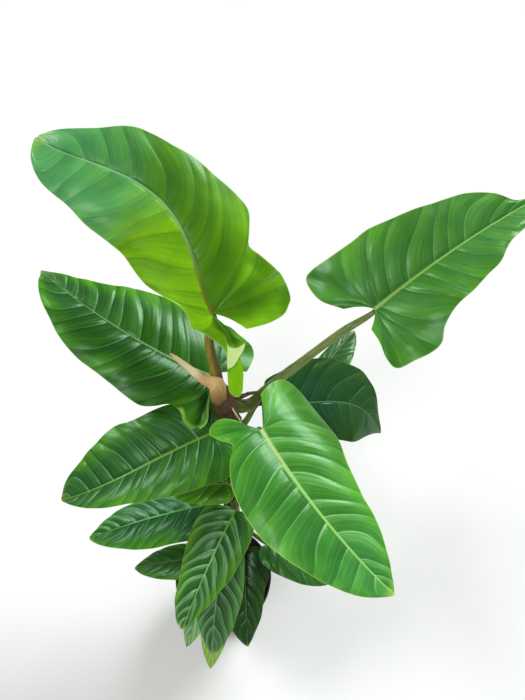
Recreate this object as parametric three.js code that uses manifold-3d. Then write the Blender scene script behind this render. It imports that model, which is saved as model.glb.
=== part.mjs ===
// A potted philodendron: a leaning stem with sixteen stalked leaves, in a plain round nursery pot of soil.
// Millimetres, +Z up. The origin is the middle of the pot's flat underside, and -Y faces the viewer.
import * as THREE from 'three';
import { mergeVertices } from 'three/addons/utils/BufferGeometryUtils.js';
import Module from 'manifold-3d';

const wasm = await Module();
wasm.setup();

// Pot
const POT_HEIGHT = 180;
const POT_RIM_RADIUS = 103;
const POT_RIM_DEPTH = 22;
const POT_TOP_RADIUS = 98;
const POT_BASE_RADIUS = 76;
const POT_WALL = 2.5;
const POT_FLOOR = 3;
const POT_SIDES = 40;
const DRAIN_HOLES = 6;
const DRAIN_RADIUS = 7;
const DRAIN_CIRCLE = 52;

// Soil
const SOIL_LEVEL = 160;
const SOIL_MOUND = 7;
const SOIL_ROUGHNESS = 2.5;
const SOIL_RINGS = 6;
const SOIL_SIDES = 30;

// Clearance left between pieces that touch, and under a blade, where the rib's foot narrows it
const GAP = 0.3;
const BLADE_GAP = 0.45;

// Leaves
const BLADE_THICKNESS = 1.3;
const RIB_DEPTH = 3.2;
const RIB_SHRINK = 0.85;
const VEIN_LEAD = 0.14;
const DRIFT_SHARE = 0.45;
const MIDRIB_STEPS = 100;
const COLUMNS = { 3: [0, 0.07, 0.52, 1], 4: [0, 0.07, 0.36, 0.7, 1] };
const YOUNG = [
  [0.3, -0.05], [0.62, -0.045], [0.86, 0.02], [0.93, 0.08], [1, 0.22], [0.98, 0.38], [0.88, 0.56],
  [0.67, 0.74], [0.38, 0.89], [0.1, 0.985], [0, 1],
];
const HALFWAY = [
  [0.4, -0.1], [0.75, -0.09], [0.98, -0.01], [1, 0.08], [0.99, 0.22], [0.96, 0.38], [0.87, 0.56],
  [0.66, 0.74], [0.38, 0.89], [0.1, 0.985], [0, 1],
];

// Each leaf runs from the top of its stalk to the tip of its blade. The midrib bows upwards by arch and
// sideways by sweep, and the blade is rolled about it. The other pairs are the left and the right half
// seen from above, looking to the tip: half width, the rise of the half from the midrib and its downward
// curl in degrees, the hind lobe's sag in degrees and sideways drift, and the outline from the hind
// lobe's inner corner to the tip, in half widths and in lengths of the midrib. A dent is a crease across
// one half: its side, its place between hind lobe and tip, its width there and its depth.
const LEAVES = [
  {
    attach: [10, 189, 800], tip: [-243, 364, 985], arch: [17, 23, 30, 32], sweep: [16, 106, 75, -2],
    roll: -20, half: [100, 100], fold: [10, 10], curl: [30, 30], drift: [45, 0],
    dents: [[1, 0.39, 0.035, 9]],
    outline: [
      [
        [0.67, -0.325], [0.78, -0.34], [0.85, -0.305], [0.76, -0.26], [0.67, -0.215], [0.59, -0.165],
        [0.57, -0.1], [0.46, -0.035], [0.37, 0.03], [0.42, 0.075], [0.6, 0.12], [0.78, 0.175],
        [0.88, 0.25], [0.93, 0.36], [0.97, 0.5], [0.95, 0.61], [0.88, 0.7], [0.7, 0.79],
        [0.55, 0.88], [0.3, 0.95], [0, 1],
      ],
      [
        [0.33, -0.12], [0.69, -0.15], [1.01, -0.16], [1.2, -0.145], [1.35, -0.12], [1.41, -0.04],
        [1.3, 0.08], [1.08, 0.16], [0.92, 0.21], [1, 0.255], [1.14, 0.31], [1.07, 0.36],
        [0.92, 0.43], [0.88, 0.49], [0.8, 0.55], [0.79, 0.62], [0.77, 0.68], [0.55, 0.78],
        [0.3, 0.93], [0.1, 0.99], [0, 1],
      ],
    ],
    wave: 2.5, waves: 3, rows: 40, columns: 4, colour: 0x5f9e20,
    stalk: [[12, 149, 655], [4, 166, 690], [-4, 177, 755]], stalkRadius: [11, 9, 6.5],
  },
  {
    attach: [-4, 193, 641], tip: [-309, 348, 745], arch: [30, 17], sweep: [-42, -28],
    roll: 0, half: [100, 100], fold: [15, 15], curl: [50, 30],
    outline: [
      [
        [0.3, 0], [0.6, -0.01], [0.88, -0.035], [1.02, -0.005], [0.98, 0.05], [0.82, 0.085],
        [0.79, 0.13], [0.96, 0.19], [1.01, 0.235], [0.97, 0.3], [0.9, 0.37], [0.86, 0.47],
        [0.84, 0.54], [0.75, 0.645], [0.6, 0.74], [0.42, 0.855], [0.22, 0.94], [0.05, 0.985],
        [0, 1],
      ],
      [
        [0.31, -0.165], [0.6, -0.185], [0.84, -0.182], [1, -0.16], [1.12, -0.1], [1.2, -0.05],
        [1.17, 0], [1.2, 0.12], [1.26, 0.24], [1.24, 0.34], [1.08, 0.42], [0.96, 0.5],
        [0.83, 0.58], [0.69, 0.645], [0.51, 0.735], [0.35, 0.83], [0.19, 0.92], [0.06, 0.98],
        [0, 1],
      ],
    ],
    wave: 2.5, waves: 3, rows: 36, columns: 4, colour: 0x2f6b24,
    stalk: [[24, 130, 585], [22, 165, 600]], stalkRadius: [9, 8, 6],
  },
  {
    attach: [-1, 98, 605], tip: [-253, 15, 530], arch: [27, 27], sweep: [-8, -26],
    roll: -10, half: [85, 95], fold: [30, 22], curl: [70, 25],
    outline: [
      [
        [0.25, -0.05], [0.62, -0.1], [0.9, -0.06], [0.98, 0.03], [0.95, 0.12], [0.92, 0.24],
        [0.8, 0.38], [0.68, 0.49], [0.58, 0.58], [0.48, 0.7], [0.36, 0.8], [0.22, 0.89],
        [0.07, 0.975], [0, 1],
      ],
      [
        [0.3, -0.02], [0.55, -0.04], [0.7, 0], [0.74, 0.08], [0.8, 0.18], [0.83, 0.28],
        [0.83, 0.38], [0.88, 0.48], [0.83, 0.57], [0.7, 0.69], [0.56, 0.8], [0.36, 0.92],
        [0.12, 0.985], [0, 1],
      ],
    ],
    wave: 2, waves: 3, rows: 24, columns: 4, colour: 0x356f27,
    stalk: [[25, 112, 505], [0, 82, 560]], stalkRadius: [8, 7, 5.5],
  },
  {
    attach: [84, 54, 690], tip: [268, -151, 590], arch: [27, 27], sweep: [24, 24],
    roll: 0, half: [90, 90], fold: [15, 15], curl: [40, 40], sag: [0, 40],
    outline: [
      [
        [0.3, -0.18], [0.6, -0.22], [0.9, -0.22], [1.08, -0.15], [1.15, -0.03], [1.18, 0.1],
        [1.16, 0.23], [1.01, 0.35], [0.88, 0.47], [0.78, 0.57], [0.7, 0.66], [0.58, 0.76],
        [0.4, 0.85], [0.2, 0.94], [0.06, 0.985], [0, 1],
      ],
      [
        [0.3, -0.09], [0.5, -0.16], [0.7, -0.16], [0.79, -0.11], [0.72, -0.04], [0.59, 0.02],
        [0.76, 0.08], [0.9, 0.16], [0.97, 0.27], [0.97, 0.4], [0.88, 0.52], [0.76, 0.62],
        [0.62, 0.73], [0.4, 0.86], [0.12, 0.965], [0, 1],
      ],
    ],
    wave: 2, waves: 3, rows: 30, columns: 4, colour: 0x4d8f35,
    stalk: [[27, 121, 572], [58, 86, 608], [84, 60, 650]], stalkRadius: [9, 8, 6.5],
  },
  {
    attach: [255, 199, 800], tip: [522, 344, 905], arch: [20, 20], sweep: [-5, -5],
    roll: 15, half: [100, 100], fold: [22, 22], curl: [30, 30],
    outline: [
      [
        [0.3, -0.11], [0.6, -0.165], [0.9, -0.17], [1.1, -0.15], [1.13, -0.1], [1.09, 0],
        [1.07, 0.12], [1.07, 0.22], [0.93, 0.35], [0.81, 0.48], [0.73, 0.57], [0.64, 0.66],
        [0.42, 0.755], [0.15, 0.84], [0.05, 0.93], [0, 1],
      ],
      [
        [0.25, -0.075], [0.5, -0.085], [0.75, -0.11], [0.95, -0.1], [1.02, -0.02], [1.07, 0.05],
        [1.05, 0.12], [0.89, 0.18], [0.77, 0.27], [0.72, 0.38], [0.65, 0.48], [0.6, 0.56],
        [0.43, 0.66], [0.34, 0.78], [0.2, 0.9], [0, 1],
      ],
    ],
    wave: 3, waves: 4, rows: 30, columns: 4, colour: 0x3f7d31,
    stalk: [[23, 128, 612], [63, 148, 612], [91, 169, 632], [147, 182, 690], [211, 196, 752]],
    stalkRadius: [14, 9.5, 8, 6.5],
  },
  {
    attach: [84, 172, 585], tip: [325, 199, 440], arch: [7, 40], sweep: [-10, -80],
    roll: 30, half: [100, 100], fold: [10, 10], curl: [30, 40],
    outline: [
      [
        [0.2, 0.01], [0.4, 0], [0.52, 0.06], [0.62, 0.15], [0.78, 0.26], [0.83, 0.38],
        [0.85, 0.5], [0.79, 0.6], [0.74, 0.7], [0.58, 0.76], [0.4, 0.82], [0.2, 0.89],
        [0.07, 0.97], [0, 1],
      ],
      [
        [0.3, 0.03], [0.55, 0.02], [0.7, 0.05], [0.8, 0.12], [0.84, 0.2], [0.84, 0.3],
        [0.8, 0.42], [0.72, 0.52], [0.72, 0.62], [0.7, 0.75], [0.6, 0.84], [0.4, 0.905],
        [0.1, 0.975], [0, 1],
      ],
    ],
    wave: 2.5, waves: 3, rows: 24, columns: 4, colour: 0x2a5a2a,
    stalk: [[26, 121, 548], [56, 150, 565]], stalkRadius: [8, 7, 5.5],
  },
  {
    attach: [177, 261, 500], tip: [284, 407, 520], arch: [14, 14], sweep: [0, 0], roll: 0,
    half: [24, 46], fold: [12, 12], curl: [35, 35], outline: [HALFWAY, HALFWAY],
    wave: 2, waves: 2, rows: 14, columns: 3, colour: 0x33662c,
    stalk: [[24, 102, 432], [105, 200, 470]], stalkRadius: [6.5, 5.5, 4.5],
  },
  {
    attach: [25, 49, 520], tip: [-78, 48, 482], arch: [12, 12], sweep: [0, 0], roll: 0,
    half: [35, 40], fold: [12, 12], curl: [35, 35], outline: [HALFWAY, HALFWAY],
    wave: 2, waves: 2, rows: 14, columns: 3, colour: 0x4b7a20,
    stalk: [[23, 98, 430], [30, 70, 470]], stalkRadius: [5.5, 5, 4.5],
  },
  {
    attach: [-20, 66, 395], tip: [-257, 23, 332], arch: [17, 17], sweep: [0, 0], roll: 0,
    half: [62, 54], fold: [15, 15], curl: [50, 50], outline: [HALFWAY, HALFWAY],
    wave: 3, waves: 3, rows: 16, columns: 3, colour: 0x346c2b,
    stalk: [[22, 84, 352], [-6, 62, 368]], stalkRadius: [5.5, 5, 4.5],
  },
  {
    attach: [-28, -4, 300], tip: [-175, -12, 260], arch: [13, 13], sweep: [0, 0], roll: 0,
    half: [38, 34], fold: [15, 15], curl: [40, 40], outline: [YOUNG, YOUNG],
    wave: 2, waves: 2, rows: 14, columns: 3, colour: 0x35602c,
    stalk: [[18, 47, 262], [-8, 16, 280]], stalkRadius: [5, 4, 3.5],
  },
  {
    attach: [35, 36, 436], tip: [-57, -140, 338], arch: [20, 20], sweep: [0, 0], roll: 0,
    half: [56, 64], fold: [15, 15], curl: [50, 50],
    outline: [
      [
        [0.3, -0.02], [0.55, 0.01], [0.8, 0.05], [0.88, 0.12], [0.91, 0.2], [0.89, 0.32],
        [0.83, 0.47], [0.67, 0.6], [0.54, 0.72], [0.37, 0.82], [0.15, 0.95], [0, 1],
      ],
      [
        [0.29, -0.01], [0.5, 0.04], [0.74, 0.03], [0.92, 0.09], [1.01, 0.21], [0.95, 0.35],
        [0.82, 0.51], [0.69, 0.61], [0.59, 0.72], [0.5, 0.83], [0.24, 0.96], [0, 1],
      ],
    ],
    wave: 1.5, waves: 3, rows: 22, columns: 3, colour: 0x4f8a3c,
    stalk: [[23, 90, 388], [34, 50, 395]], stalkRadius: [5.5, 5, 4.5],
  },
  {
    attach: [15, -6, 360], tip: [-8, -165, 250], arch: [17, 17], sweep: [6, 6], roll: 0,
    half: [46, 46], fold: [15, 15], curl: [40, 40],
    outline: [
      [
        [0.35, -0.05], [0.66, -0.03], [0.86, 0.05], [0.95, 0.17], [1.02, 0.28], [1.06, 0.4],
        [1, 0.52], [0.9, 0.62], [0.76, 0.74], [0.5, 0.86], [0.15, 0.97], [0, 1],
      ],
      [
        [0.3, -0.05], [0.6, -0.045], [0.8, 0.02], [0.9, 0.12], [0.95, 0.25], [0.95, 0.4],
        [0.88, 0.52], [0.78, 0.62], [0.62, 0.73], [0.4, 0.85], [0.12, 0.965], [0, 1],
      ],
    ],
    wave: 1.5, waves: 2, rows: 18, columns: 3, colour: 0x447a3b,
    stalk: [[20, 62, 308], [18, 18, 325]], stalkRadius: [5, 4.5, 4],
  },
  {
    attach: [48, 1, 320], tip: [57, -147, 230], arch: [13, 13], sweep: [0, 0], roll: 0,
    half: [48, 46], fold: [15, 15], curl: [40, 40],
    outline: [
      [
        [0.3, -0.05], [0.65, -0.04], [0.88, 0.05], [0.95, 0.15], [1.01, 0.28], [0.82, 0.39],
        [0.72, 0.5], [0.66, 0.6], [0.57, 0.7], [0.33, 0.84], [0.1, 0.96], [0, 1],
      ],
      [
        [0.3, -0.05], [0.62, -0.045], [0.86, 0.02], [0.93, 0.12], [1, 0.25], [0.98, 0.4],
        [0.92, 0.52], [0.86, 0.62], [0.76, 0.73], [0.54, 0.85], [0.2, 0.96], [0, 1],
      ],
    ],
    wave: 1.5, waves: 2, rows: 18, columns: 3, colour: 0x2c5727,
    stalk: [[19, 50, 272], [40, 22, 290]], stalkRadius: [5, 4.5, 4],
  },
  {
    attach: [3, -25, 266], tip: [-16, -178, 194], arch: [13, 13], sweep: [0, 0], roll: 0,
    half: [34, 34], fold: [15, 15], curl: [40, 40], outline: [YOUNG, YOUNG],
    wave: 2, waves: 2, rows: 14, columns: 3, colour: 0x4a8236,
    stalk: [[18, 44, 246], [12, 8, 242]], stalkRadius: [4.5, 4, 3.5],
  },
  {
    attach: [-20, -11, 235], tip: [-67, -138, 178], arch: [13, 13], sweep: [0, 0], roll: 0,
    half: [30, 30], fold: [15, 15], curl: [40, 40], outline: [YOUNG, YOUNG],
    wave: 2, waves: 2, rows: 14, columns: 3, colour: 0x3a6b30,
    stalk: [[16, 34, 214], [-6, 12, 214]], stalkRadius: [4.5, 4, 3.5],
  },
  {
    attach: [96, 15, 330], tip: [218, -47, 285], arch: [13, 13], sweep: [0, 0], roll: 0,
    half: [48, 44], fold: [15, 15], curl: [40, 40], outline: [YOUNG, YOUNG],
    wave: 2, waves: 2, rows: 14, columns: 3, colour: 0x2e5a2b,
    stalk: [[21, 72, 334], [62, 38, 325]], stalkRadius: [5.5, 5, 4],
  },
];

// Stem, from the blind hole in the soil to the growing tip
const STEM_PATH = [[14, 18, 118], [15, 21, 165], [20, 55, 290], [23, 94, 400], [27, 122, 560], [24, 130, 625], [14, 149, 676]];
const STEM_RADIUS = [11, 12, 13, 15, 19, 20, 15];
const STEM_SIDES = 12;
const STEM_STEPS = 28;
const STEM_JOINTS = 14;
const STEM_JOINT_SWELL = 0.07;
const STALK_SIDES = 8;
const STALK_STEPS = 8;

// Sheath of the youngest leaf, its pointed end turned away from the stem
const SHEATH_PATH = [[21, 124, 630], [6, 145, 664], [-14, 156, 684], [-38, 164, 705], [-66, 172, 731]];
const SHEATH_RADIUS = [13, 12.5, 8, 6, 1.2];

// Dried remains of an older sheath, above the base of the right-hand stalk
const OLD_SHEATH_PATH = [[30, 138, 632], [44, 153, 637], [60, 161, 643], [84, 168, 652]];
const OLD_SHEATH_RADIUS = [5.5, 5, 4, 2];

// Aerial roots, each from the stem's side to its free end
const ROOTS = [
  { path: [[30, 118, 640], [42, 108, 622], [56, 98, 598]], radius: [1.8, 1.6, 1] },
  { path: [[14, 104, 590], [4, 92, 556], [2, 84, 520]], radius: [1.8, 1.6, 1] },
];

const v3 = (p) => new THREE.Vector3(...p);
const radians = THREE.MathUtils.degToRad;
const sideIndex = (side) => (side < 0 ? 0 : 1);

function standard(colour, roughness) {
  return new THREE.MeshStandardMaterial({ color: colour, roughness, metalness: 0, side: THREE.DoubleSide });
}

function solidOf(geometry) {
  const bare = geometry.clone();
  bare.deleteAttribute('normal');
  bare.deleteAttribute('uv');
  const merged = mergeVertices(bare, 1e-4);
  const vertProperties = new Float32Array(merged.attributes.position.array);
  const triVerts = new Uint32Array(merged.index.array);
  return new wasm.Manifold(new wasm.Mesh({ numProp: 3, vertProperties, triVerts }));
}

function geometryOf(solid) {
  const mesh = solid.getMesh();
  const positions = [];
  for (const vertex of mesh.triVerts) {
    for (let k = 0; k < 3; k += 1) {
      positions.push(mesh.vertProperties[vertex * mesh.numProp + k]);
    }
  }
  const geometry = new THREE.BufferGeometry();
  geometry.setAttribute('position', new THREE.Float32BufferAttribute(positions, 3));
  geometry.computeVertexNormals();
  return geometry;
}

function largest(solid) {
  const bodies = solid.decompose();
  return bodies.reduce((best, body) => (body.volume() > best.volume() ? body : best));
}

// Value at fraction f along a list of evenly spaced values
function along(values, f) {
  const place = f * (values.length - 1);
  const i = Math.min(Math.floor(place), values.length - 2);
  return THREE.MathUtils.lerp(values[i], values[i + 1], place - i);
}

// Smooth curve through a list of pairs, at fraction f
function smoothPair(points, f) {
  const last = points.length - 1;
  const place = f * last;
  const i = Math.min(Math.floor(place), last - 1);
  const u = place - i;
  const at = (k) => points[Math.min(Math.max(k, 0), last)];
  return [0, 1].map((c) => {
    const [a, b, d, e] = [at(i - 1)[c], at(i)[c], at(i + 1)[c], at(i + 2)[c]];
    return 0.5 * (2 * b + (d - a) * u + (2 * a - 5 * b + 4 * d - e) * u * u + (3 * b - a - 3 * d + e) * u ** 3);
  });
}

// Closed round bar of changing radius along a smooth path
function bar(path, radii, sides, steps, grow = 0, swell = () => 1) {
  const curve = new THREE.CatmullRomCurve3(path.map(v3), false, 'centripetal');
  const frames = curve.computeFrenetFrames(steps, false);
  const positions = [];
  const index = [];
  for (let i = 0; i <= steps; i += 1) {
    const f = i / steps;
    const centre = curve.getPointAt(f);
    const radius = along(radii, f) * swell(f) + grow;
    if (i === 0) {
      centre.addScaledVector(frames.tangents[0], -grow);
    }
    if (i === steps) {
      centre.addScaledVector(frames.tangents[steps], grow);
    }
    for (let j = 0; j < sides; j += 1) {
      const angle = (j / sides) * Math.PI * 2;
      const p = centre.clone()
        .addScaledVector(frames.normals[i], Math.cos(angle) * radius)
        .addScaledVector(frames.binormals[i], Math.sin(angle) * radius);
      positions.push(p.x, p.y, p.z);
    }
  }
  const ends = [0, steps].map((i) => {
    const p = curve.getPointAt(i / steps);
    p.addScaledVector(frames.tangents[i], i === 0 ? -grow : grow);
    positions.push(p.x, p.y, p.z);
    return positions.length / 3 - 1;
  });
  for (let i = 0; i < steps; i += 1) {
    for (let j = 0; j < sides; j += 1) {
      const a = i * sides + j;
      const b = i * sides + ((j + 1) % sides);
      index.push(a, b, b + sides, a, b + sides, a + sides);
    }
  }
  for (let j = 0; j < sides; j += 1) {
    const k = (j + 1) % sides;
    index.push(ends[0], k, j, ends[1], steps * sides + j, steps * sides + k);
  }
  const geometry = new THREE.BufferGeometry();
  geometry.setAttribute('position', new THREE.Float32BufferAttribute(positions, 3));
  geometry.setIndex(index);
  const solid = solidOf(geometry);
  return solid.volume() < 0 ? solidOf(flipped(geometry)) : solid;
}

function flipped(geometry) {
  const turned = geometry.clone();
  const index = [...geometry.index.array];
  for (let i = 0; i < index.length; i += 3) {
    [index[i + 1], index[i + 2]] = [index[i + 2], index[i + 1]];
  }
  turned.setIndex(index);
  return turned;
}

// The midrib, the frame along it and the blade's surface for one leaf
function leafSurface(leaf) {
  const base = v3(leaf.attach);
  const tip = v3(leaf.tip);
  const chord = tip.clone().sub(base);
  const axis = chord.clone().normalize();
  const up = new THREE.Vector3(0, 0, 1).addScaledVector(axis, -axis.z).normalize();
  up.applyAxisAngle(axis, radians(leaf.roll));
  const across = axis.clone().cross(up);
  const bows = leaf.arch.map((rise, k) => base.clone()
    .addScaledVector(chord, (k + 1) / (leaf.arch.length + 1))
    .addScaledVector(up, rise)
    .addScaledVector(across, leaf.sweep[k]));
  const reach = leaf.outline.map((outline) => Math.max(0.05, ...outline.map((p) => -p[1])));
  const sag = leaf.sag ?? [0, 0];
  const drift = leaf.drift ?? [0, 0];
  const dents = leaf.dents ?? [];

  // The midrib's control points drawn together at fraction y, until so many are left
  function drawn(y, count) {
    let points = [base, ...bows, tip];
    while (points.length > count) {
      const before = points;
      points = before.slice(1).map((p, k) => before[k].clone().lerp(p, y));
    }
    return points;
  }

  function frame(y) {
    const [from, to] = drawn(y, 2);
    const tangent = to.clone().sub(from).normalize();
    const normal = up.clone().addScaledVector(tangent, -up.dot(tangent)).normalize();
    return { tangent, normal, side: tangent.clone().cross(normal) };
  }

  let length = 0;
  for (let k = 0; k < MIDRIB_STEPS; k += 1) {
    length += drawn(k / MIDRIB_STEPS, 1)[0].distanceTo(drawn((k + 1) / MIDRIB_STEPS, 1)[0]);
  }

  // Point of the blade x mm from the midrib and at fraction y of its length
  function place(x, y, side, edge, row) {
    const i = sideIndex(side);
    const at = frame(Math.max(y, 0));
    const point = drawn(Math.max(y, 0), 1)[0].clone();
    let shift = 0;
    let { normal } = at;
    if (y < 0) {
      const back = -y * length;
      const share = -y / reach[i];
      const turn = radians(sag[i]) * share;
      const bend = turn / back;
      const forth = turn > 1e-4 ? Math.sin(turn) / bend : back;
      const down = turn > 1e-4 ? (1 - Math.cos(turn)) / bend : 0;
      point.addScaledVector(at.tangent, -forth).addScaledVector(at.normal, -down);
      normal = at.normal.clone().multiplyScalar(Math.cos(turn)).addScaledVector(at.tangent, -Math.sin(turn));
      shift = drift[i] * Math.sin((Math.PI / 2) * Math.min(share / DRIFT_SHARE, 1));
    }
    const rise = radians(leaf.fold[i]);
    const curl = radians(leaf.curl[i]) / leaf.half[i];
    const outward = (Math.sin(rise) - Math.sin(rise - curl * x)) / curl - shift;
    const ripple = leaf.wave * edge * edge * Math.sin(2 * Math.PI * leaf.waves * row + i) * (1 - row ** 4);
    let upward = (Math.cos(rise - curl * x) - Math.cos(rise)) / curl + ripple;
    for (const [half, centre, width, depth] of dents) {
      upward -= half === i ? depth * edge ** 1.5 * Math.exp(-(((row - centre) / width) ** 2)) : 0;
    }
    return point.addScaledVector(at.side, side * outward).addScaledVector(normal, upward);
  }

  // Point at fraction u along the vein of one row, from the midrib to the margin
  function onVein(row, u, side) {
    const ends = leaf.outline.map((outline) => smoothPair(outline, row));
    const start = Math.max(0, ((ends[0][1] + ends[1][1]) / 2 - VEIN_LEAD) / (1 - VEIN_LEAD));
    const [width, end] = ends[sideIndex(side)];
    const half = leaf.half[sideIndex(side)];
    const middle = start + 0.28 * (end - start);
    const x = 2 * u * (1 - u) * 0.55 * width * half + u * u * width * half;
    const y = (1 - u) ** 2 * start + 2 * u * (1 - u) * middle + u * u * end;
    return place(Math.max(x, 0), Math.min(y, 1), side, u, row);
  }

  return { onVein, frame, base };
}

// Blade of one leaf as a closed solid, its margin all round, with the midrib raised on its underside
function blade(leaf, grow = 0) {
  const { onVein } = leafSurface(leaf);
  const columns = COLUMNS[leaf.columns];
  const reach = leaf.columns;
  const vertices = [];
  const known = new Map();
  const grid = [];
  for (let i = 0; i <= leaf.rows; i += 1) {
    const row = [];
    for (let j = -reach; j <= reach; j += 1) {
      const p = onVein(i / leaf.rows, columns[Math.abs(j)], j < 0 ? -1 : 1);
      const key = p.toArray().map((value) => Math.round(value * 50)).join();
      if (!known.has(key)) {
        known.set(key, vertices.length);
        vertices.push({ p, normal: new THREE.Vector3(), rib: j === 0 ? 1 - (RIB_SHRINK * i) / leaf.rows : 0 });
      }
      row.push(known.get(key));
    }
    grid.push(row);
  }
  const faces = [];
  const add = (a, b, c) => {
    if (a !== b && b !== c && c !== a) {
      faces.push([a, b, c]);
      const p = [a, b, c].map((k) => vertices[k].p);
      const normal = p[1].clone().sub(p[0]).cross(p[2].clone().sub(p[0]));
      [a, b, c].forEach((k) => vertices[k].normal.add(normal));
    }
  };
  for (let i = 0; i < leaf.rows; i += 1) {
    for (let j = 0; j < 2 * reach; j += 1) {
      const [a, b, c, d] = [grid[i][j], grid[i][j + 1], grid[i + 1][j + 1], grid[i + 1][j]];
      if (j < reach) {
        add(a, b, c);
        add(a, c, d);
      } else {
        add(a, b, d);
        add(b, c, d);
      }
    }
  }
  const positions = [];
  for (const side of [1, -1]) {
    for (const vertex of vertices) {
      const depth = BLADE_THICKNESS / 2 + grow + (side < 0 ? RIB_DEPTH * vertex.rib : 0);
      const p = vertex.p.clone().addScaledVector(vertex.normal.clone().normalize(), side * depth);
      positions.push(...p.toArray());
    }
  }
  const under = vertices.length;
  const index = [];
  const edges = new Map();
  for (const [a, b, c] of faces) {
    index.push(a, b, c, a + under, c + under, b + under);
    for (const [from, to] of [[a, b], [b, c], [c, a]]) {
      const back = `${to},${from}`;
      if (edges.has(back)) {
        edges.delete(back);
      } else {
        edges.set(`${from},${to}`, [from, to]);
      }
    }
  }
  for (const [from, to] of edges.values()) {
    index.push(to, from, from + under, to, from + under, to + under);
  }
  const geometry = new THREE.BufferGeometry();
  geometry.setAttribute('position', new THREE.Float32BufferAttribute(positions, 3));
  geometry.setIndex(index);
  return solidOf(geometry);
}

// Stalk of one leaf, from inside the stem to a slim end laid along the underside of the midrib
function stalk(leaf, grow = 0) {
  const { frame, base } = leafSurface(leaf);
  const { tangent, normal } = frame(0);
  const radius = leaf.stalkRadius[leaf.stalkRadius.length - 1];
  const neck = base.clone().addScaledVector(normal, -radius - 3).addScaledVector(tangent, -radius);
  const end = base.clone().addScaledVector(normal, -5).addScaledVector(tangent, 16);
  const path = [...leaf.stalk, neck.toArray(), end.toArray()];
  return bar(path, [...leaf.stalkRadius, radius, 2.5], STALK_SIDES, STALK_STEPS, grow);
}

function stem(grow = 0) {
  const swell = (f) => 1 + STEM_JOINT_SWELL * Math.cos(2 * Math.PI * STEM_JOINTS * f);
  return bar(STEM_PATH, STEM_RADIUS, STEM_SIDES, STEM_STEPS, grow, swell);
}

function pot() {
  const rimUnder = POT_HEIGHT - POT_RIM_DEPTH;
  const profile = [
    [0, 0],
    [POT_BASE_RADIUS - 3, 0],
    [POT_BASE_RADIUS, 3],
    [POT_TOP_RADIUS, rimUnder],
    [POT_RIM_RADIUS, rimUnder + 2],
    [POT_RIM_RADIUS + 1, POT_HEIGHT - 2],
    [POT_RIM_RADIUS, POT_HEIGHT],
    [POT_RIM_RADIUS - POT_WALL, POT_HEIGHT],
    [POT_TOP_RADIUS - POT_WALL, rimUnder],
    [POT_BASE_RADIUS - POT_WALL, POT_FLOOR],
    [0, POT_FLOOR],
  ].map(([x, y]) => new THREE.Vector2(x, y));
  const turned = new THREE.LatheGeometry(profile, POT_SIDES).rotateX(Math.PI / 2);
  let body = solidOf(turned);
  for (let k = 0; k < DRAIN_HOLES; k += 1) {
    const angle = ((k + 0.5) / DRAIN_HOLES) * Math.PI * 2;
    const drill = new THREE.CylinderGeometry(DRAIN_RADIUS, DRAIN_RADIUS, 4 * POT_FLOOR, 12).rotateX(Math.PI / 2);
    drill.translate(Math.cos(angle) * DRAIN_CIRCLE, Math.sin(angle) * DRAIN_CIRCLE, 0);
    body = body.subtract(solidOf(drill));
  }
  return body;
}

// Soil filling the pot, its top a low uneven mound
function soil() {
  const bottom = POT_FLOOR + GAP;
  const wallAt = (z) => {
    const share = (z - POT_FLOOR) / (POT_HEIGHT - POT_RIM_DEPTH - POT_FLOOR);
    return THREE.MathUtils.lerp(POT_BASE_RADIUS, POT_TOP_RADIUS, Math.min(share, 1)) - POT_WALL - GAP;
  };
  const edge = SOIL_LEVEL - 6;
  const profile = [new THREE.Vector2(0, bottom), new THREE.Vector2(wallAt(bottom) - 0.5, bottom)];
  profile.push(new THREE.Vector2(wallAt(edge) - 0.5, edge));
  for (let i = 1; i <= SOIL_RINGS; i += 1) {
    const share = 1 - i / SOIL_RINGS;
    profile.push(new THREE.Vector2(share * (wallAt(edge) - 1), edge + SOIL_MOUND * (1 - share * share)));
  }
  const turned = new THREE.LatheGeometry(profile, SOIL_SIDES).rotateX(Math.PI / 2);
  const position = turned.getAttribute('position');
  for (let i = 0; i < position.count; i += 1) {
    const [x, y, z] = [position.getX(i), position.getY(i), position.getZ(i)];
    if (z > edge + 0.1) {
      const lumps = Math.sin(x * 0.21 + 1.3) * Math.cos(y * 0.17) + Math.sin(x * 0.09 - y * 0.13);
      position.setZ(i, z + (SOIL_ROUGHNESS / 2) * lumps);
    }
  }
  return solidOf(turned);
}

const part = new THREE.Group();
part.name = 'potted_philodendron';

function addNode(name, solid, colour, roughness) {
  const mesh = new THREE.Mesh(geometryOf(solid), standard(colour, roughness));
  mesh.name = name;
  part.add(mesh);
}

const stemSolid = stem();
const stemCut = stem(GAP);
addNode('pot', pot(), 0x1d1a18, 0.55);
addNode('soil', soil().subtract(stemCut), 0x2a211a, 0.95);
addNode('stem', stemSolid, 0x6a4a2c, 0.85);

const stalkCuts = [];
LEAVES.forEach((leaf, k) => {
  const number = String(k + 1).padStart(2, '0');
  addNode(`blade_${number}`, blade(leaf), leaf.colour, 0.4);
  const backwards = leafSurface(leaf).frame(0).tangent.multiplyScalar(-BLADE_GAP);
  const bladeCut = blade(leaf, BLADE_GAP);
  let solid = stalk(leaf).subtract(stemCut).subtract(bladeCut);
  solid = solid.subtract(bladeCut.translate(backwards.toArray()));
  stalkCuts.forEach((cut) => {
    solid = solid.subtract(cut);
  });
  addNode(`stalk_${number}`, largest(solid), 0x7c8a45, 0.5);
  stalkCuts.push(stalk(leaf, GAP));
});

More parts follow.
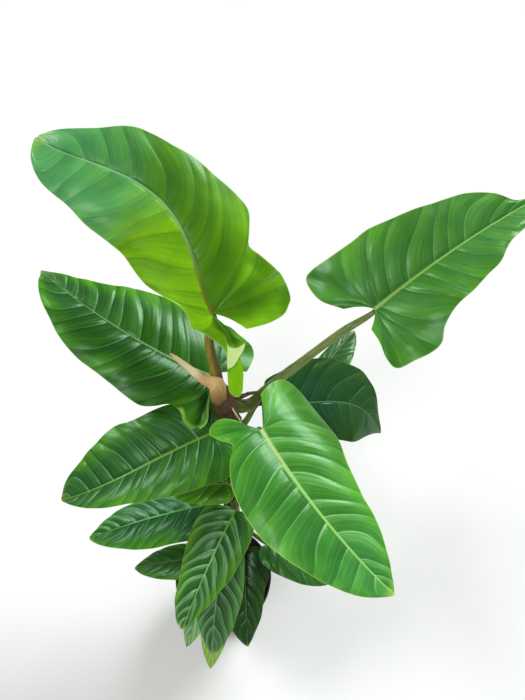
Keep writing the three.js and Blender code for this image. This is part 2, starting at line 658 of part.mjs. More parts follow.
let sheath = bar(SHEATH_PATH, SHEATH_RADIUS, 10, 12).subtract(stemCut);
let oldSheath = bar(OLD_SHEATH_PATH, OLD_SHEATH_RADIUS, 8, 6).subtract(stemCut);
stalkCuts.forEach((cut) => {
  sheath = sheath.subtract(cut);
  oldSheath = oldSheath.subtract(cut);
});
addNode('sheath', largest(sheath), 0xb07a48, 0.6);
addNode('old_sheath', largest(oldSheath), 0x6f604c, 0.85);

ROOTS.forEach(({ path, radius }, k) => {
  let root = bar(path, radius, 6, 6).subtract(stemCut);
  stalkCuts.forEach((cut) => {
    root = root.subtract(cut);
  });
  addNode(`aerial_root_${k + 1}`, largest(root), 0xd8cfae, 0.7);
});

export default part;
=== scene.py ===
import math
import random

import bpy
import numpy as np
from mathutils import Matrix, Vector, noise


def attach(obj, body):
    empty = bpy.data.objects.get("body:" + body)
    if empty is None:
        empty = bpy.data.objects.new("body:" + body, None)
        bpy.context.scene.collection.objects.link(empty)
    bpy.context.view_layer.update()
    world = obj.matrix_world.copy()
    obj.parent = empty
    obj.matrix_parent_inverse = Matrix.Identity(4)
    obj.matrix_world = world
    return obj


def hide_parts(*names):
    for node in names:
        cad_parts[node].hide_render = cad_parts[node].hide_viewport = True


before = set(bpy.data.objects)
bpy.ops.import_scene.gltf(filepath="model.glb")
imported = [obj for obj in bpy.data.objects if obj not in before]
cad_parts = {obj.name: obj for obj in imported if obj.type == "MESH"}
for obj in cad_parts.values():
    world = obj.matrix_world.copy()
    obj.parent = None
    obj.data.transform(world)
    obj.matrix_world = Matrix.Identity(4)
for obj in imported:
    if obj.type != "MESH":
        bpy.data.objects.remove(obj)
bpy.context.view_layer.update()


# Pot: a plain round nursery pot of thin dark plastic, moulded in one piece, with a deep stepped collar
# and six drain holes in its floor. It is drawn ring by ring from one circle, then drilled and eased.
def deselect():
    for other in bpy.context.selected_objects:
        other.select_set(False)


def edit_all():
    bpy.ops.object.mode_set(mode="EDIT")
    bpy.ops.mesh.select_all(action="SELECT")


def close_up():
    bpy.ops.mesh.edge_face_add()
    bpy.ops.mesh.select_all(action="SELECT")
    bpy.ops.mesh.normals_make_consistent(inside=False)
    bpy.ops.object.mode_set(mode="OBJECT")


def colour(code, share=1.0):
    """The linear tone of a six-digit colour, made darker or lighter by a share."""
    values = [int(code[k:k + 2], 16) / 255 for k in (0, 2, 4)]
    linear = [v / 12.92 if v <= 0.04045 else ((v + 0.055) / 1.055) ** 2.4 for v in values]
    return (*[v * share for v in linear], 1.0)


def node(tree, kind, inputs=None, **settings):
    made = tree.nodes.new("ShaderNode" + kind)
    for name, value in settings.items():
        setattr(made, name, value)
    for name, value in (inputs or {}).items():
        if isinstance(value, bpy.types.NodeSocket):
            tree.links.new(value, made.inputs[name])
        else:
            made.inputs[name].default_value = colour(value) if isinstance(value, str) else value
    return made


def calc(tree, operation, first, second=0.0):
    return node(tree, "Math", {0: first, 1: second}, operation=operation).outputs[0]


def times(tree, product, *shares):
    for share in shares:
        product = calc(tree, "MULTIPLY", product, share)
    return product


def fade(tree, value, low, high, start=0.0, end=1.0):
    inputs = {"Value": value, "From Min": low, "From Max": high, "To Min": start, "To Max": end}
    return node(tree, "MapRange", inputs, interpolation_type="SMOOTHSTEP").outputs[0]


def mixed(tree, share, first, second, mode="MIX"):
    made = node(tree, "Mix", {0: share, 6: first, 7: second}, data_type="RGBA", blend_type=mode)
    return made.outputs[2]


def grain(tree, scale, detail=3.0, stretch=(1, 1, 1), source=None, distortion=0.0):
    if source is None:
        source = node(tree, "TexCoord").outputs["Object"]
    placed = node(tree, "Mapping", {"Vector": source, "Scale": stretch}).outputs[0]
    inputs = {"Vector": placed, "Scale": scale, "Detail": detail, "Distortion": distortion}
    return node(tree, "TexNoise", inputs).outputs["Fac"]


def finish_named(name):
    material = bpy.data.materials.new(name)
    material.use_nodes = True
    tree = material.node_tree
    return material, tree, tree.nodes["Principled BSDF"]


def dress(tree, surface, tone, rough, relief, depth, strength):
    """Gives a surface its tone, its roughness (one value or a pattern) and its fine relief in metres."""
    tree.links.new(tone, surface.inputs["Base Color"])
    if isinstance(rough, float):
        surface.inputs["Roughness"].default_value = rough
    else:
        tree.links.new(rough, surface.inputs["Roughness"])
    bump = node(tree, "Bump", {"Height": relief, "Distance": depth, "Strength": strength})
    tree.links.new(bump.outputs[0], surface.inputs["Normal"])


POT_SIDES = 128
DRAIN_HOLES = 6
DRAIN_CIRCLE = 0.052
DRAIN_RADIUS = 0.007
POT_RINGS = [(0.0730, 0.0), (0.0752, 0.0012), (0.0762, 0.0035), (0.0788, 0.0220), (0.0850, 0.0660),
             (0.0912, 0.1100), (0.0979, 0.1572), (0.0982, 0.1580), (0.1026, 0.1588), (0.1031, 0.1600),
             (0.1034, 0.1680), (0.1039, 0.1772), (0.1036, 0.1794), (0.1024, 0.1800), (0.1010, 0.1797),
             (0.1006, 0.1780), (0.0998, 0.1690), (0.0958, 0.1575), (0.0880, 0.1030), (0.0795, 0.0420),
             (0.0737, 0.0030)]
deselect()
bpy.ops.mesh.primitive_circle_add(vertices=POT_SIDES, radius=POT_RINGS[0][0], fill_type="NOTHING")
pot = bpy.context.object
pot.name = "nursery_pot"
edit_all()
for (radius, height), (wider, higher) in zip(POT_RINGS, POT_RINGS[1:]):
    bpy.ops.mesh.extrude_edges_move(TRANSFORM_OT_translate={"value": (0, 0, higher - height)})
    bpy.ops.transform.resize(value=(wider / radius, wider / radius, 1))
bpy.ops.mesh.edge_face_add()
bpy.ops.mesh.select_all(action="DESELECT")
bpy.ops.object.mode_set(mode="OBJECT")
for vertex in pot.data.vertices:
    vertex.select = abs(vertex.co.z) < 1e-6
bpy.ops.object.mode_set(mode="EDIT")
close_up()
for k in range(DRAIN_HOLES):
    turn = 2 * math.pi * (k + 0.5) / DRAIN_HOLES
    place = (DRAIN_CIRCLE * math.cos(turn), DRAIN_CIRCLE * math.sin(turn), 0)
    deselect()
    bpy.ops.mesh.primitive_cylinder_add(vertices=32, radius=DRAIN_RADIUS, depth=0.02, location=place)
    drill = bpy.context.object
    cut = pot.modifiers.new("drain", "BOOLEAN")
    cut.object = drill
    cut.operation = "DIFFERENCE"
    bpy.context.view_layer.objects.active = pot
    bpy.ops.object.modifier_apply(modifier="drain")
    bpy.data.objects.remove(drill)
deselect()
pot.select_set(True)
eased = pot.modifiers.new("eased", "BEVEL")
eased.width = 0.0003
eased.segments = 2
eased.limit_method = "ANGLE"
eased.angle_limit = math.radians(50)
bpy.ops.object.modifier_apply(modifier="eased")
bpy.ops.object.shade_smooth_by_angle(angle=math.radians(32))

plastic, tree, surface = finish_named("dark_pot_plastic")
clouds = grain(tree, 30, 4)
dust = grain(tree, 9, 5, stretch=(1, 1, 0.25))
speck = grain(tree, 900, 2)
shade = mixed(tree, fade(tree, clouds, 0.35, 0.7), "1b1715", "2b2320")
shade = mixed(tree, fade(tree, dust, 0.5, 0.75, 0, 0.45), shade, "5b5044")
shade = mixed(tree, fade(tree, speck, 0.62, 0.7, 0, 0.35), shade, "6e6354")
dress(tree, surface, shade, fade(tree, dust, 0.35, 0.75, 0.42, 0.72), speck, 0.0002, 0.5)
pot.data.materials.append(plastic)
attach(pot, "root")
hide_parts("pot")


# Soil: dark peat with bits of bark and a little white grit, filling the pot to a low uneven mound.
# One sheet is drawn in to a disc, raised in lumps and closed below; the loose bits lie on top of it.
SOIL_RADIUS = 0.0938
SOIL_EDGE = 0.1540
SOIL_MOUND = 0.006
SOIL_CELLS = 110
SHOULDER = 0.01
SHOULDER_SHARE = 0.985
BODY = 0.1395
FOOT_SHARE = 0.785


def joined(pieces):
    deselect()
    for piece in pieces:
        piece.select_set(True)
    bpy.context.view_layer.objects.active = pieces[0]
    bpy.ops.object.join()
    return bpy.context.object


def soil_height(x, y):
    share = min(math.hypot(x, y) / SOIL_RADIUS, 1.0)
    lumps = noise.fractal(Vector((x, y, 0.3)) * 42, 0.8, 2.1, 4)
    fine = noise.noise(Vector((x, y, 0.9)) * 260)
    return SOIL_EDGE + SOIL_MOUND * (1 - share * share) + 0.0022 * lumps + 0.0008 * fine


deselect()
bpy.ops.mesh.primitive_grid_add(x_subdivisions=SOIL_CELLS, y_subdivisions=SOIL_CELLS, size=2)
soil = bpy.context.object
soil.name = "peat_soil"
for vertex in soil.data.vertices:
    x, y = vertex.co.x, vertex.co.y
    reach = max(abs(x), abs(y))
    long = math.hypot(x, y) or 1.0
    x, y = [value * reach / long * SOIL_RADIUS for value in (x, y)]
    vertex.co = (x, y, soil_height(x, y))
edit_all()
bpy.ops.mesh.region_to_loop()
bpy.ops.mesh.extrude_edges_move(TRANSFORM_OT_translate={"value": (0, 0, -SHOULDER)})
bpy.ops.transform.resize(value=(SHOULDER_SHARE, SHOULDER_SHARE, 0))
bpy.ops.mesh.extrude_edges_move(TRANSFORM_OT_translate={"value": (0, 0, -BODY)})
bpy.ops.transform.resize(value=(FOOT_SHARE, FOOT_SHARE, 1))
close_up()
bpy.ops.object.shade_smooth_by_angle(angle=math.radians(70))

peat, tree, surface = finish_named("dark_peat")
clumps = grain(tree, 70, 6)
crumbs = grain(tree, 420, 5, distortion=0.6)
shade = mixed(tree, fade(tree, clumps, 0.35, 0.65), "17110c", "33261b")
shade = mixed(tree, fade(tree, crumbs, 0.55, 0.75, 0, 0.7), shade, "5a4632")
dress(tree, surface, shade, 0.95, crumbs, 0.0016, 0.9)
soil.data.materials.append(peat)
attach(soil, "root")
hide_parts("soil")

chance = random.Random(7)
for kind, count, low, high, flat, tone in (("bark_bits", 150, 0.0018, 0.0042, 0.45, "4a3524"),
                                           ("grit_bits", 34, 0.0010, 0.0020, 0.8, "cfc8b8"),
                                           ("peat_crumbs", 170, 0.0012, 0.0030, 0.8, "20170f")):
    bits = []
    for k in range(count):
        reach = SOIL_RADIUS * 0.95 * math.sqrt(chance.random())
        turn = chance.uniform(0, 2 * math.pi)
        x, y = reach * math.cos(turn), reach * math.sin(turn)
        size = chance.uniform(low, high)
        deselect()
        bpy.ops.mesh.primitive_ico_sphere_add(subdivisions=1, radius=size)
        bit = bpy.context.object
        for vertex in bit.data.vertices:
            vertex.co *= 1 + 0.35 * noise.noise(vertex.co * 700 + Vector((k, 0, 0)))
        bit.scale = (1.0, chance.uniform(0.5, 0.9), flat)
        bit.rotation_euler = (chance.uniform(-0.4, 0.4), chance.uniform(-0.4, 0.4), chance.uniform(0, 6))
        bit.location = (x, y, soil_height(x, y) + 0.25 * size)
        bits.append(bit)
    loose = joined(bits)
    bpy.ops.object.transform_apply(location=True, rotation=True, scale=True)
    loose.name = kind
    bits_finish, tree, surface = finish_named(kind + "_finish")
    shade = mixed(tree, fade(tree, grain(tree, 260, 4), 0.3, 0.7), colour(tone, 0.6), colour(tone, 1.4))
    dress(tree, surface, shade, 0.9, grain(tree, 1500, 3), 0.0004, 0.8)
    loose.data.materials.append(bits_finish)
    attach(loose, "root")


# Stem: one leaning woody stem, ringed where old leaves stood and wrapped in what is left of their dry
# fibres. It stands in the soil and carries every leaf stalk.
SPAN_STEPS = 60


def smooth_path(path, count):
    """Evenly spaced points on the smooth curve through the path, the curve's direction and its length."""
    knots = [np.array(p, float) for p in path]
    knots = [2 * knots[0] - knots[1], *knots, 2 * knots[-1] - knots[-2]]
    fine = []
    for four in zip(knots, knots[1:], knots[2:], knots[3:]):
        when = np.cumsum([0.0] + [np.linalg.norm(q - p) ** 0.5 for p, q in zip(four, four[1:])])
        t = np.linspace(when[1], when[2], SPAN_STEPS, endpoint=False)[:, None]
        near = [(p * (b - t) + q * (t - a)) / (b - a) for p, q, a, b in zip(four, four[1:], when, when[1:])]
        far = [(p * (b - t) + q * (t - a)) / (b - a) for p, q, a, b in zip(near, near[1:], when, when[2:])]
        fine.extend((far[0] * (when[2] - t) + far[1] * (t - when[1])) / (when[2] - when[1]))
    fine = np.array([*fine, knots[-2]])
    walked = np.concatenate([[0], np.cumsum(np.linalg.norm(np.diff(fine, axis=0), axis=1))])
    even = np.linspace(0, walked[-1], count)
    placed = np.stack([np.interp(even, walked, fine[:, k]) for k in range(3)], axis=1)
    ahead = np.gradient(placed, axis=0)
    return placed, ahead / np.linalg.norm(ahead, axis=1, keepdims=True), even


def shaped_grid(name, spots):
    """A sheet through lines of points in mm, with the line and the column that each of its points has."""
    rows, columns = len(spots) - 1, len(spots[0]) - 1
    deselect()
    bpy.ops.mesh.primitive_grid_add(x_subdivisions=columns, y_subdivisions=rows, size=2)
    sheet = bpy.context.object
    sheet.name = name
    flat = np.zeros(len(sheet.data.vertices) * 3, np.float32)
    sheet.data.vertices.foreach_get("co", flat)
    flat = flat.reshape(-1, 3)
    column = np.rint((flat[:, 0] + 1) / 2 * columns).astype(int)
    line = np.rint((flat[:, 1] + 1) / 2 * rows).astype(int)
    sheet.data.vertices.foreach_set("co", (spots[line, column] / 1000).astype(np.float32).ravel())
    return sheet, line, column


def bent_bar(name, path, radii, sides, rings, shape=None):
    """A closed bar along a path in mm. Its shape gives the radius round it, as a share of the plain one."""
    placed, ahead, walked = smooth_path(path, rings + 1)
    share = np.linspace(0, 1, rings + 1)
    radius = np.interp(share, np.linspace(0, 1, len(radii)), radii)
    turn = np.linspace(0, 2 * np.pi, sides + 1)
    turn[-1] = 0
    side = np.cross(ahead[0], [0, 0, 1.0] if abs(ahead[0][2]) < 0.9 else [1.0, 0, 0])
    spots = np.zeros((rings + 1, sides + 1, 3))
    fibre = np.zeros((rings + 1, sides + 1, 3))
    for k in range(rings + 1):
        side = side - ahead[k] * np.dot(side, ahead[k])
        side = side / np.linalg.norm(side)
        other = np.cross(ahead[k], side)
        thick = radius[k] * (shape(turn, share[k], walked[k]) if shape else np.ones(sides + 1))
        spots[k] = placed[k] + np.outer(np.cos(turn) * thick, side) + np.outer(np.sin(turn) * thick, other)
        round_it = np.stack([np.cos(turn), np.sin(turn)], axis=1) * max(radius[k], 0.5)
        fibre[k] = np.concatenate([round_it, np.full((sides + 1, 1), walked[k])], axis=1)
    bar, line, column = shaped_grid(name, spots)
    kept = bar.data.attributes.new("fibre", "FLOAT_VECTOR", "POINT")
    kept.data.foreach_set("vector", fibre[line, column].astype(np.float32).ravel())
    bar.data.update()
    edit_all()
    bpy.ops.mesh.remove_doubles(threshold=1e-6)
    bpy.ops.mesh.fill_holes(sides=0)
    bpy.ops.mesh.normals_make_consistent(inside=False)
    bpy.ops.object.mode_set(mode="OBJECT")
    bpy.ops.object.shade_smooth_by_angle(angle=math.radians(60))
    return bar


def fibre_of(tree):
    """Where a spot of a bar lies: across it twice, then along it, in mm."""
    return node(tree, "Attribute", attribute_name="fibre").outputs["Vector"]


def axes(tree, vector):
    return node(tree, "SeparateXYZ", {0: vector}).outputs


STEM_PATH = [(14, 18, 118), (15, 21, 165), (20, 55, 290), (23, 94, 400), (27, 122, 560), (24, 130, 625),
             (14, 149, 676)]
STEM_RADIUS = [11, 12, 13, 15, 19, 22, 17]
STEM_JOINTS = 14
THREADS = 70
THREAD_STEPS = 4


def uneven_round(turn, reach, along):
    return np.array([noise.noise(Vector((math.cos(a) * reach, math.sin(a) * reach, along))) for a in turn])


def stem_shape(turn, share, walked):
    swell = math.cos(2 * math.pi * STEM_JOINTS * share)
    dome = math.sqrt(max(1 - (max(share - 0.955, 0) / 0.046) ** 2, 0.03))
    joint = 0.07 * swell + 0.05 * max(swell, 0) ** 12
    rough = 0.07 * uneven_round(turn, 2.6, walked / 34) + 0.055 * uneven_round(turn, 9, walked / 60)
    return dome * (1 + joint + rough)


stem = bent_bar("woody_stem", STEM_PATH, STEM_RADIUS, 72, 260, stem_shape)
bark, tree, surface = finish_named("fibrous_stem_bark")
fibre = fibre_of(tree)
strands = grain(tree, 1.0, 4, (0.9, 0.9, 0.05), fibre)
patches = grain(tree, 0.08, 4, source=fibre)
speck = grain(tree, 1.6, 3, source=fibre)
shade = mixed(tree, fade(tree, strands, 0.3, 0.7), "2a1810", "6b4430")
shade = mixed(tree, fade(tree, patches, 0.5, 0.7, 0, 0.6), shade, "54552a")
shade = mixed(tree, fade(tree, speck, 0.62, 0.72, 0, 0.8), shade, "a58b5e")
shade = mixed(tree, fade(tree, speck, 0.36, 0.26, 0, 0.7), shade, "160d08")
relief = calc(tree, "ADD", strands, times(tree, speck, 0.5))
dress(tree, surface, shade, 0.82, relief, 0.0016, 0.9)
stem.data.materials.append(bark)
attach(stem, "root")
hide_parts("stem")

placed, ahead = smooth_path(STEM_PATH, 200)[:2]
threads = []
for k in range(THREADS):
    start = chance.uniform(0.12, 0.93)
    run = chance.uniform(0.03, 0.1)
    turn = chance.uniform(0, 2 * math.pi)
    path = []
    for step in range(THREAD_STEPS + 1):
        at = min(start + run * step / THREAD_STEPS, 0.99 + 0.002 * step)
        spot = int(at * (len(placed) - 1))
        direction = ahead[spot]
        side = np.cross(direction, [1.0, 0, 0])
        side = side / np.linalg.norm(side)
        turn += chance.uniform(-0.12, 0.12)
        out = math.cos(turn) * side + math.sin(turn) * np.cross(direction, side)
        thick = float(np.interp(at, np.linspace(0, 1, len(STEM_RADIUS)), STEM_RADIUS))
        lift = 1.19 if step == THREAD_STEPS and k % 4 == 0 else 1.03
        path.append(placed[spot] + out * thick * lift + direction * step)
    threads.append(bent_bar("thread", path, [0.35, 0.45, 0.3, 0.15], 5, 8))
stem_threads = joined(threads)
stem_threads.name = "dry_stem_fibres"
straw, tree, surface = finish_named("dry_fibre")
shade = mixed(tree, fade(tree, grain(tree, 90, 3), 0.35, 0.65), "3d2816", "8d6f45")
dress(tree, surface, shade, 0.85, grain(tree, 0.9, 3, (1, 1, 0.1), fibre_of(tree)), 0.0003, 0.7)
stem_threads.data.materials.append(straw)
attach(stem_threads, "root")


# Leaf blades: arrow-shaped leathery blades that stand out all round the stem, the newest highest. Each
# is one thin sheet, quilted between sunk pale side veins, with a pale midrib that stands out below.
THICKNESS = 1.1
VEIN_LEAD = 0.14
VEIN_OUT = 0.55
VEIN_AHEAD = 0.28
DRIFT_SHARE = 0.45
LEFT_VEINS_AHEAD = 0.35
QUILT_SPACING = 13
RIM_WAVE = 0.9
RIB_RISE = 0.8
RIB_REACH = 1.3
TURNED_GRID = (36, 200)
LARGE_GRID = (26, 180)
SMALL_GRID = (20, 120)
SPINE_SPOTS = 101
FINE_ROWS = 401
EVEN_AT = 0.55
NEWEST = 1
LARGE_LEAVES = 6

# Shape, in mm and degrees: arch and sweep bow the midrib up and sideways at even steps. For the left and
# the right half, half is the width, fold the rise, curl the roundness, sag and drift how the hind lobe
# hangs and leans, and the outline runs from the hind lobe's inner corner to the tip, in hundredths of the
# half width and of the midrib. Wave and waves shape the wavy margin. Dents are (half, place, width, depth)
# and bulges (half, place across, width across, width along, amount).
# Tones: near and far run along the midrib, and glow comes in towards the margin, as glow_end at the tip.
# Rib is the midrib's tone at its foot and beyond. Shown, strips and ridges are the shares of the veins, of
# the painted light and shade between them and of their pale banks, partly a painted sheen. Uneven says
# how far the tones wander, sides tints each half with painted light and shade, and crease, as (middle,
# width), paints the shade of a valley, with painted light on its banks, across the left hind lobe.
PLAIN = dict(arch=(13, 13), sweep=(0, 0), roll=0, fold=(15, 15), curl=(40, 40), sag=(0, 0), drift=(0, 0),
             wave=2, waves=2, veins=8, dents=(), bulges=(), rib_width=1.8, shown=0.5, quilt=2.0,
             strips=0.85, uneven=0.2, sides=((1, 1, 1), (1, 1, 1)))
YOUNG = [(30, -5), (62, -4.5), (86, 2), (93, 8), (100, 22), (98, 38), (88, 56), (67, 74), (38, 89),
         (10, 98.5)]
HALFWAY = [(40, -10), (75, -9), (98, -1), (100, 8), (99, 22), (96, 38), (87, 56), (66, 74), (38, 89),
           (10, 98.5)]
LEAVES = [
    dict(attach=(10, 189, 800), tip=(-243, 364, 985), arch=(17, 23, 30, 32), sweep=(16, 106, 75, -2),
         roll=-20, half=(100, 100), fold=(10, 10), curl=(30, 30), drift=(45, 0), wave=2.5, waves=3,
         veins=12, dents=[(1, 0.39, 0.035, 9)],
         bulges=[(0, 0.62, 0.09, 0.06, 17), (0, 0.85, 0.12, 0.05, 8)],
         outline=[
             [(67, -32.5), (78, -34), (85, -30.5), (76, -26), (67, -21.5), (59, -16.5), (57, -10),
              (46, -3.5), (37, 3), (42, 7.5), (60, 12), (78, 17.5), (88, 25), (93, 36), (97, 50), (95, 61),
              (88, 70), (70, 79), (55, 88), (30, 95)],
             [(33, -12), (69, -15), (101, -16), (120, -14.5), (135, -12), (141, -4), (130, 8), (108, 16),
              (92, 21), (100, 25.5), (114, 31), (107, 36), (92, 43), (88, 49), (80, 55), (79, 62), (77, 68),
              (55, 78), (30, 93), (10, 99)]],
         # The newest leaf's lime near tone is partly painted light shining through it, its blue-green far
         # tone partly a painted sky reflection.
         near="78b404", far="4e9c5a", glow="7cc010", glow_end="54a060", vein="93c884", vein_foot="4c7c0c",
         rib=("756320", "8fc684"), edge="a9cf5c", rib_width=3.0, shown=0.4, quilt=1.3, strips=0.55,
         uneven=0.12, sides=((1, 1, 1), (0.4, 0.5, 0.3)),
         stalk=[(12, 149, 655), (8, 166, 690), (2, 177, 755)], thick=[11, 9.5, 7.5]),
    dict(attach=(-4, 193, 641), tip=(-309, 348, 745), arch=(30, 17), sweep=(-42, -28), half=(100, 100),
         curl=(50, 30), wave=2.5, waves=3, veins=14,
         dents=[(0, 0.09, 0.035, -5), (0, 0.17, 0.028, 4), (0, 0.25, 0.035, -5)], crease=(0.17, 0.05),
         outline=[
             [(30, 0), (60, -1), (88, -3.5), (102, -0.5), (98, 5), (82, 8.5), (79, 13), (96, 19),
              (101, 23.5), (97, 30), (90, 37), (86, 47), (84, 54), (75, 64.5), (60, 74), (42, 85.5),
              (22, 94), (5, 98.5)],
             [(31, -16.5), (60, -18.5), (84, -18.2), (100, -16), (112, -10), (120, -5), (117, 0), (120, 12),
              (126, 24), (124, 34), (108, 42), (96, 50), (83, 58), (69, 64.5), (51, 73.5), (35, 83),
              (19, 92), (6, 98)]],
         near="2a5c0c", far="285c20", glow="4e9410", vein="84bc8a", rib=("6f9a4a", "74a35c"), edge="74a348",
         rib_width=2.2, shown=0.55, sides=((0.66, 0.8, 0.6), (1.05, 1.05, 1.1)), ridges=(0.0, 0.1),
         stalk=[(24, 130, 585), (22, 165, 600)], thick=[9, 8, 6]),
    dict(attach=(-1, 98, 605), tip=(-253, 15, 530), arch=(27, 27), sweep=(-8, -26), roll=-10, half=(85, 95),
         fold=(30, 22), curl=(70, 25), waves=3, veins=12,
         outline=[
             [(25, -5), (62, -10), (90, -6), (98, 3), (95, 12), (92, 24), (80, 38), (68, 49), (58, 58),
              (48, 70), (36, 80), (22, 89), (7, 97.5)],
             [(20, -9.5), (38, -11.2), (56, -8), (70, -1), (74, 8), (80, 18), (83, 28), (83, 38), (88, 48),
              (83, 57), (70, 69), (56, 80), (36, 92), (12, 98.5)]],
         near="2b6020", far="30682c", glow="50980e", vein="9fd0a4", rib=("7a9a34", "7fae48"), edge="6e9c34",
         rib_width=3.2, shown=0.7, sides=((1.0, 1.0, 1.0), (0.9, 0.95, 0.9)),
         stalk=[(25, 112, 505), (0, 82, 560)], thick=[8, 7, 5.5]),
    dict(attach=(84, 54, 690), tip=(268, -151, 590), arch=(27, 27), sweep=(24, 24), half=(90, 90),
         sag=(0, 40), waves=3, veins=11,
         outline=[
             [(30, -18), (60, -22), (90, -22), (108, -15), (115, -3), (118, 10), (116, 23), (101, 35),
              (88, 47), (78, 57), (70, 66), (58, 76), (40, 85), (20, 94), (6, 98.5)],
             [(30, -9), (50, -16), (70, -16), (79, -11), (72, -4), (59, 2), (76, 8), (90, 16), (97, 27),
              (97, 40), (88, 52), (76, 62), (62, 73), (40, 86), (12, 96.5)]],
         near="3f8628", far="4a9a46", glow="5aa82a", vein="b0e0a4", rib=("b4c878", "a4dc78"), edge="a4d850",
         rib_width=3.7, shown=0.6, quilt=1.6, strips=0.6, sides=((1.12, 1.08, 1.12), (0.74, 0.82, 0.82)),
         ridges=(0.25, 0.0),
         stalk=[(27, 121, 572), (58, 86, 608), (84, 60, 650)], thick=[9, 8, 6.5]),
    dict(attach=(255, 199, 800), tip=(522, 344, 905), arch=(20, 20), sweep=(-5, -5), roll=15,
         half=(100, 100), fold=(22, 22), curl=(30, 30), wave=3, waves=4, veins=12,
         outline=[
             [(30, -11), (60, -16.5), (90, -17), (110, -15), (113, -10), (109, 0), (107, 12), (107, 22),
              (93, 35), (81, 48), (73, 57), (64, 66), (42, 75.5), (15, 84), (5, 93)],
             [(25, -7.5), (50, -8.5), (75, -11), (95, -10), (102, -2), (107, 5), (105, 12), (89, 18),
              (77, 27), (72, 38), (65, 48), (60, 56), (43, 66), (34, 78), (20, 90)]],
         near="407e2c", far="488c3c", glow="4f9226", vein="8cc080", rib=("8fae50", "94c464"), edge="84b83e",
         rib_width=3.0, shown=0.45, strips=0.6,
         stalk=[(22, 134, 636), (62, 150, 616), (91, 169, 632), (147, 182, 690), (211, 196, 752)],
         thick=[14, 9.5, 8, 6.5]),
    dict(attach=(84, 172, 585), tip=(325, 199, 440), arch=(7, 40), sweep=(-10, -80), roll=30,
         half=(100, 100), fold=(10, 10), curl=(30, 40), wave=2.5, waves=3, veins=9,
         outline=[
             [(20, 1), (40, 0), (52, 6), (62, 15), (78, 26), (83, 38), (85, 50), (79, 60), (74, 70),
              (58, 76), (40, 82), (20, 89), (7, 97)],
             [(30, 3), (55, 2), (70, 5), (80, 12), (84, 20), (84, 30), (80, 42), (72, 52), (72, 62),
              (70, 75), (60, 84), (40, 90.5), (10, 97.5)]],
         # Its deep tones are partly the leaf's own colour, partly painted shade.
         near="1c4c30", far="2a5424", glow="2c5416", vein="6a9a74", rib=("5c8a54", "5c8a54"), edge="4a7630",
         rib_width=2.2, shown=0.3, quilt=1.2, strips=0.5,
         stalk=[(26, 121, 548), (56, 150, 565)], thick=[8, 7, 5.5]),
    dict(attach=(177, 261, 500), tip=(284, 407, 520), arch=(14, 14), half=(24, 46), fold=(12, 12),
         curl=(35, 35), outline=[HALFWAY, HALFWAY],
         near="305830", far="386034", glow="427030", vein="7a9c78", rib=("7a9c60", "7a9c60"), edge="94c45a",
         shown=0.35,
         stalk=[(24, 102, 432), (105, 200, 470)], thick=[6.5, 5.5, 4.5]),
    dict(attach=(25, 49, 520), tip=(-78, 48, 482), arch=(12, 12), half=(35, 40), fold=(12, 12),
         curl=(35, 35), veins=7, outline=[HALFWAY, HALFWAY],
         near="3c681c", far="4e8c1c", glow="68b014", vein="7f9a4c", rib=("84984a", "84a050"), edge="a8d838",
         shown=0.4,
         stalk=[(23, 98, 430), (30, 70, 470)], thick=[5.5, 5, 4.5]),
    dict(attach=(-20, 66, 395), tip=(-257, 23, 332), arch=(17, 17), half=(62, 54), curl=(50, 50), wave=3,
         waves=3, veins=11, outline=[HALFWAY, HALFWAY],
         near="206034", far="2f742a", glow="54a01c", vein="9ccca4", rib=("5c9440", "7cb45c"), edge="84bc30",
         rib_width=2.2, shown=0.6, quilt=3.0, sides=((0.65, 0.75, 0.65), (1.3, 1.2, 1.25)),
         ridges=(0.0, 0.6),
         stalk=[(22, 84, 352), (-6, 62, 368)], thick=[5.5, 5, 4.5]),
    dict(attach=(-28, -4, 300), tip=(-175, -12, 260), half=(38, 34), outline=[YOUNG, YOUNG],
         near="325e26", far="3c6e30", glow="468020", vein="7fa47c", rib=("6f9458", "6f9458"), edge="6f9850",
         shown=0.45,
         stalk=[(18, 47, 262), (-8, 16, 280)], thick=[5, 4, 3.5]),
    dict(attach=(35, 36, 436), tip=(-57, -140, 338), arch=(20, 20), half=(56, 64), curl=(50, 50), wave=1.5,
         waves=3, veins=10,
         outline=[
             [(30, -2), (55, 1), (80, 5), (88, 12), (91, 20), (89, 32), (83, 47), (67, 60), (54, 72),
              (37, 82), (15, 95)],
             [(29, -1), (50, 4), (74, 3), (92, 9), (101, 21), (95, 35), (82, 51), (69, 61), (59, 72),
              (50, 83), (24, 96)]],
         near="2c6624", far="38782e", glow="6cac18", vein="b0d8a8", rib=("70aa34", "a0cc84"), edge="a0c850",
         rib_width=2.4, shown=0.7, quilt=3.6, ridges=(0.4, 0.6),
         stalk=[(23, 90, 388), (34, 50, 395)], thick=[5.5, 5, 4.5]),
    dict(attach=(15, -6, 360), tip=(-8, -165, 250), arch=(17, 17), sweep=(6, 6), half=(46, 46), wave=1.5,
         outline=[
             [(35, -5), (66, -3), (86, 5), (95, 17), (102, 28), (106, 40), (100, 52), (90, 62), (76, 74),
              (50, 86), (15, 97)],
             [(30, -5), (60, -4.5), (80, 2), (90, 12), (95, 25), (95, 40), (88, 52), (78, 62), (62, 73),
              (40, 85), (12, 96.5)]],
         near="2c562a", far="3e6e3c", glow="5c9450", vein="b4d4b4", rib=("7c9c64", "a0c090"), edge="a4c45c",
         rib_width=2.0, shown=0.7, ridges=(0.15, 0.35),
         stalk=[(20, 62, 308), (18, 18, 325)], thick=[5, 4.5, 4]),
    dict(attach=(48, 1, 320), tip=(57, -147, 230), half=(48, 46), wave=1.5,
         outline=[
             [(30, -5), (65, -4), (88, 5), (95, 15), (101, 28), (82, 39), (72, 50), (66, 60), (57, 70),
              (33, 84), (10, 96)],
             [(30, -5), (62, -4.5), (86, 2), (93, 12), (100, 25), (98, 40), (92, 52), (86, 62), (76, 73),
              (54, 85), (20, 96)]],
         near="1e3a18", far="284a1e", glow="38581c", vein="86a888", rib=("5c7c4c", "5c7c4c"), edge="64903c",
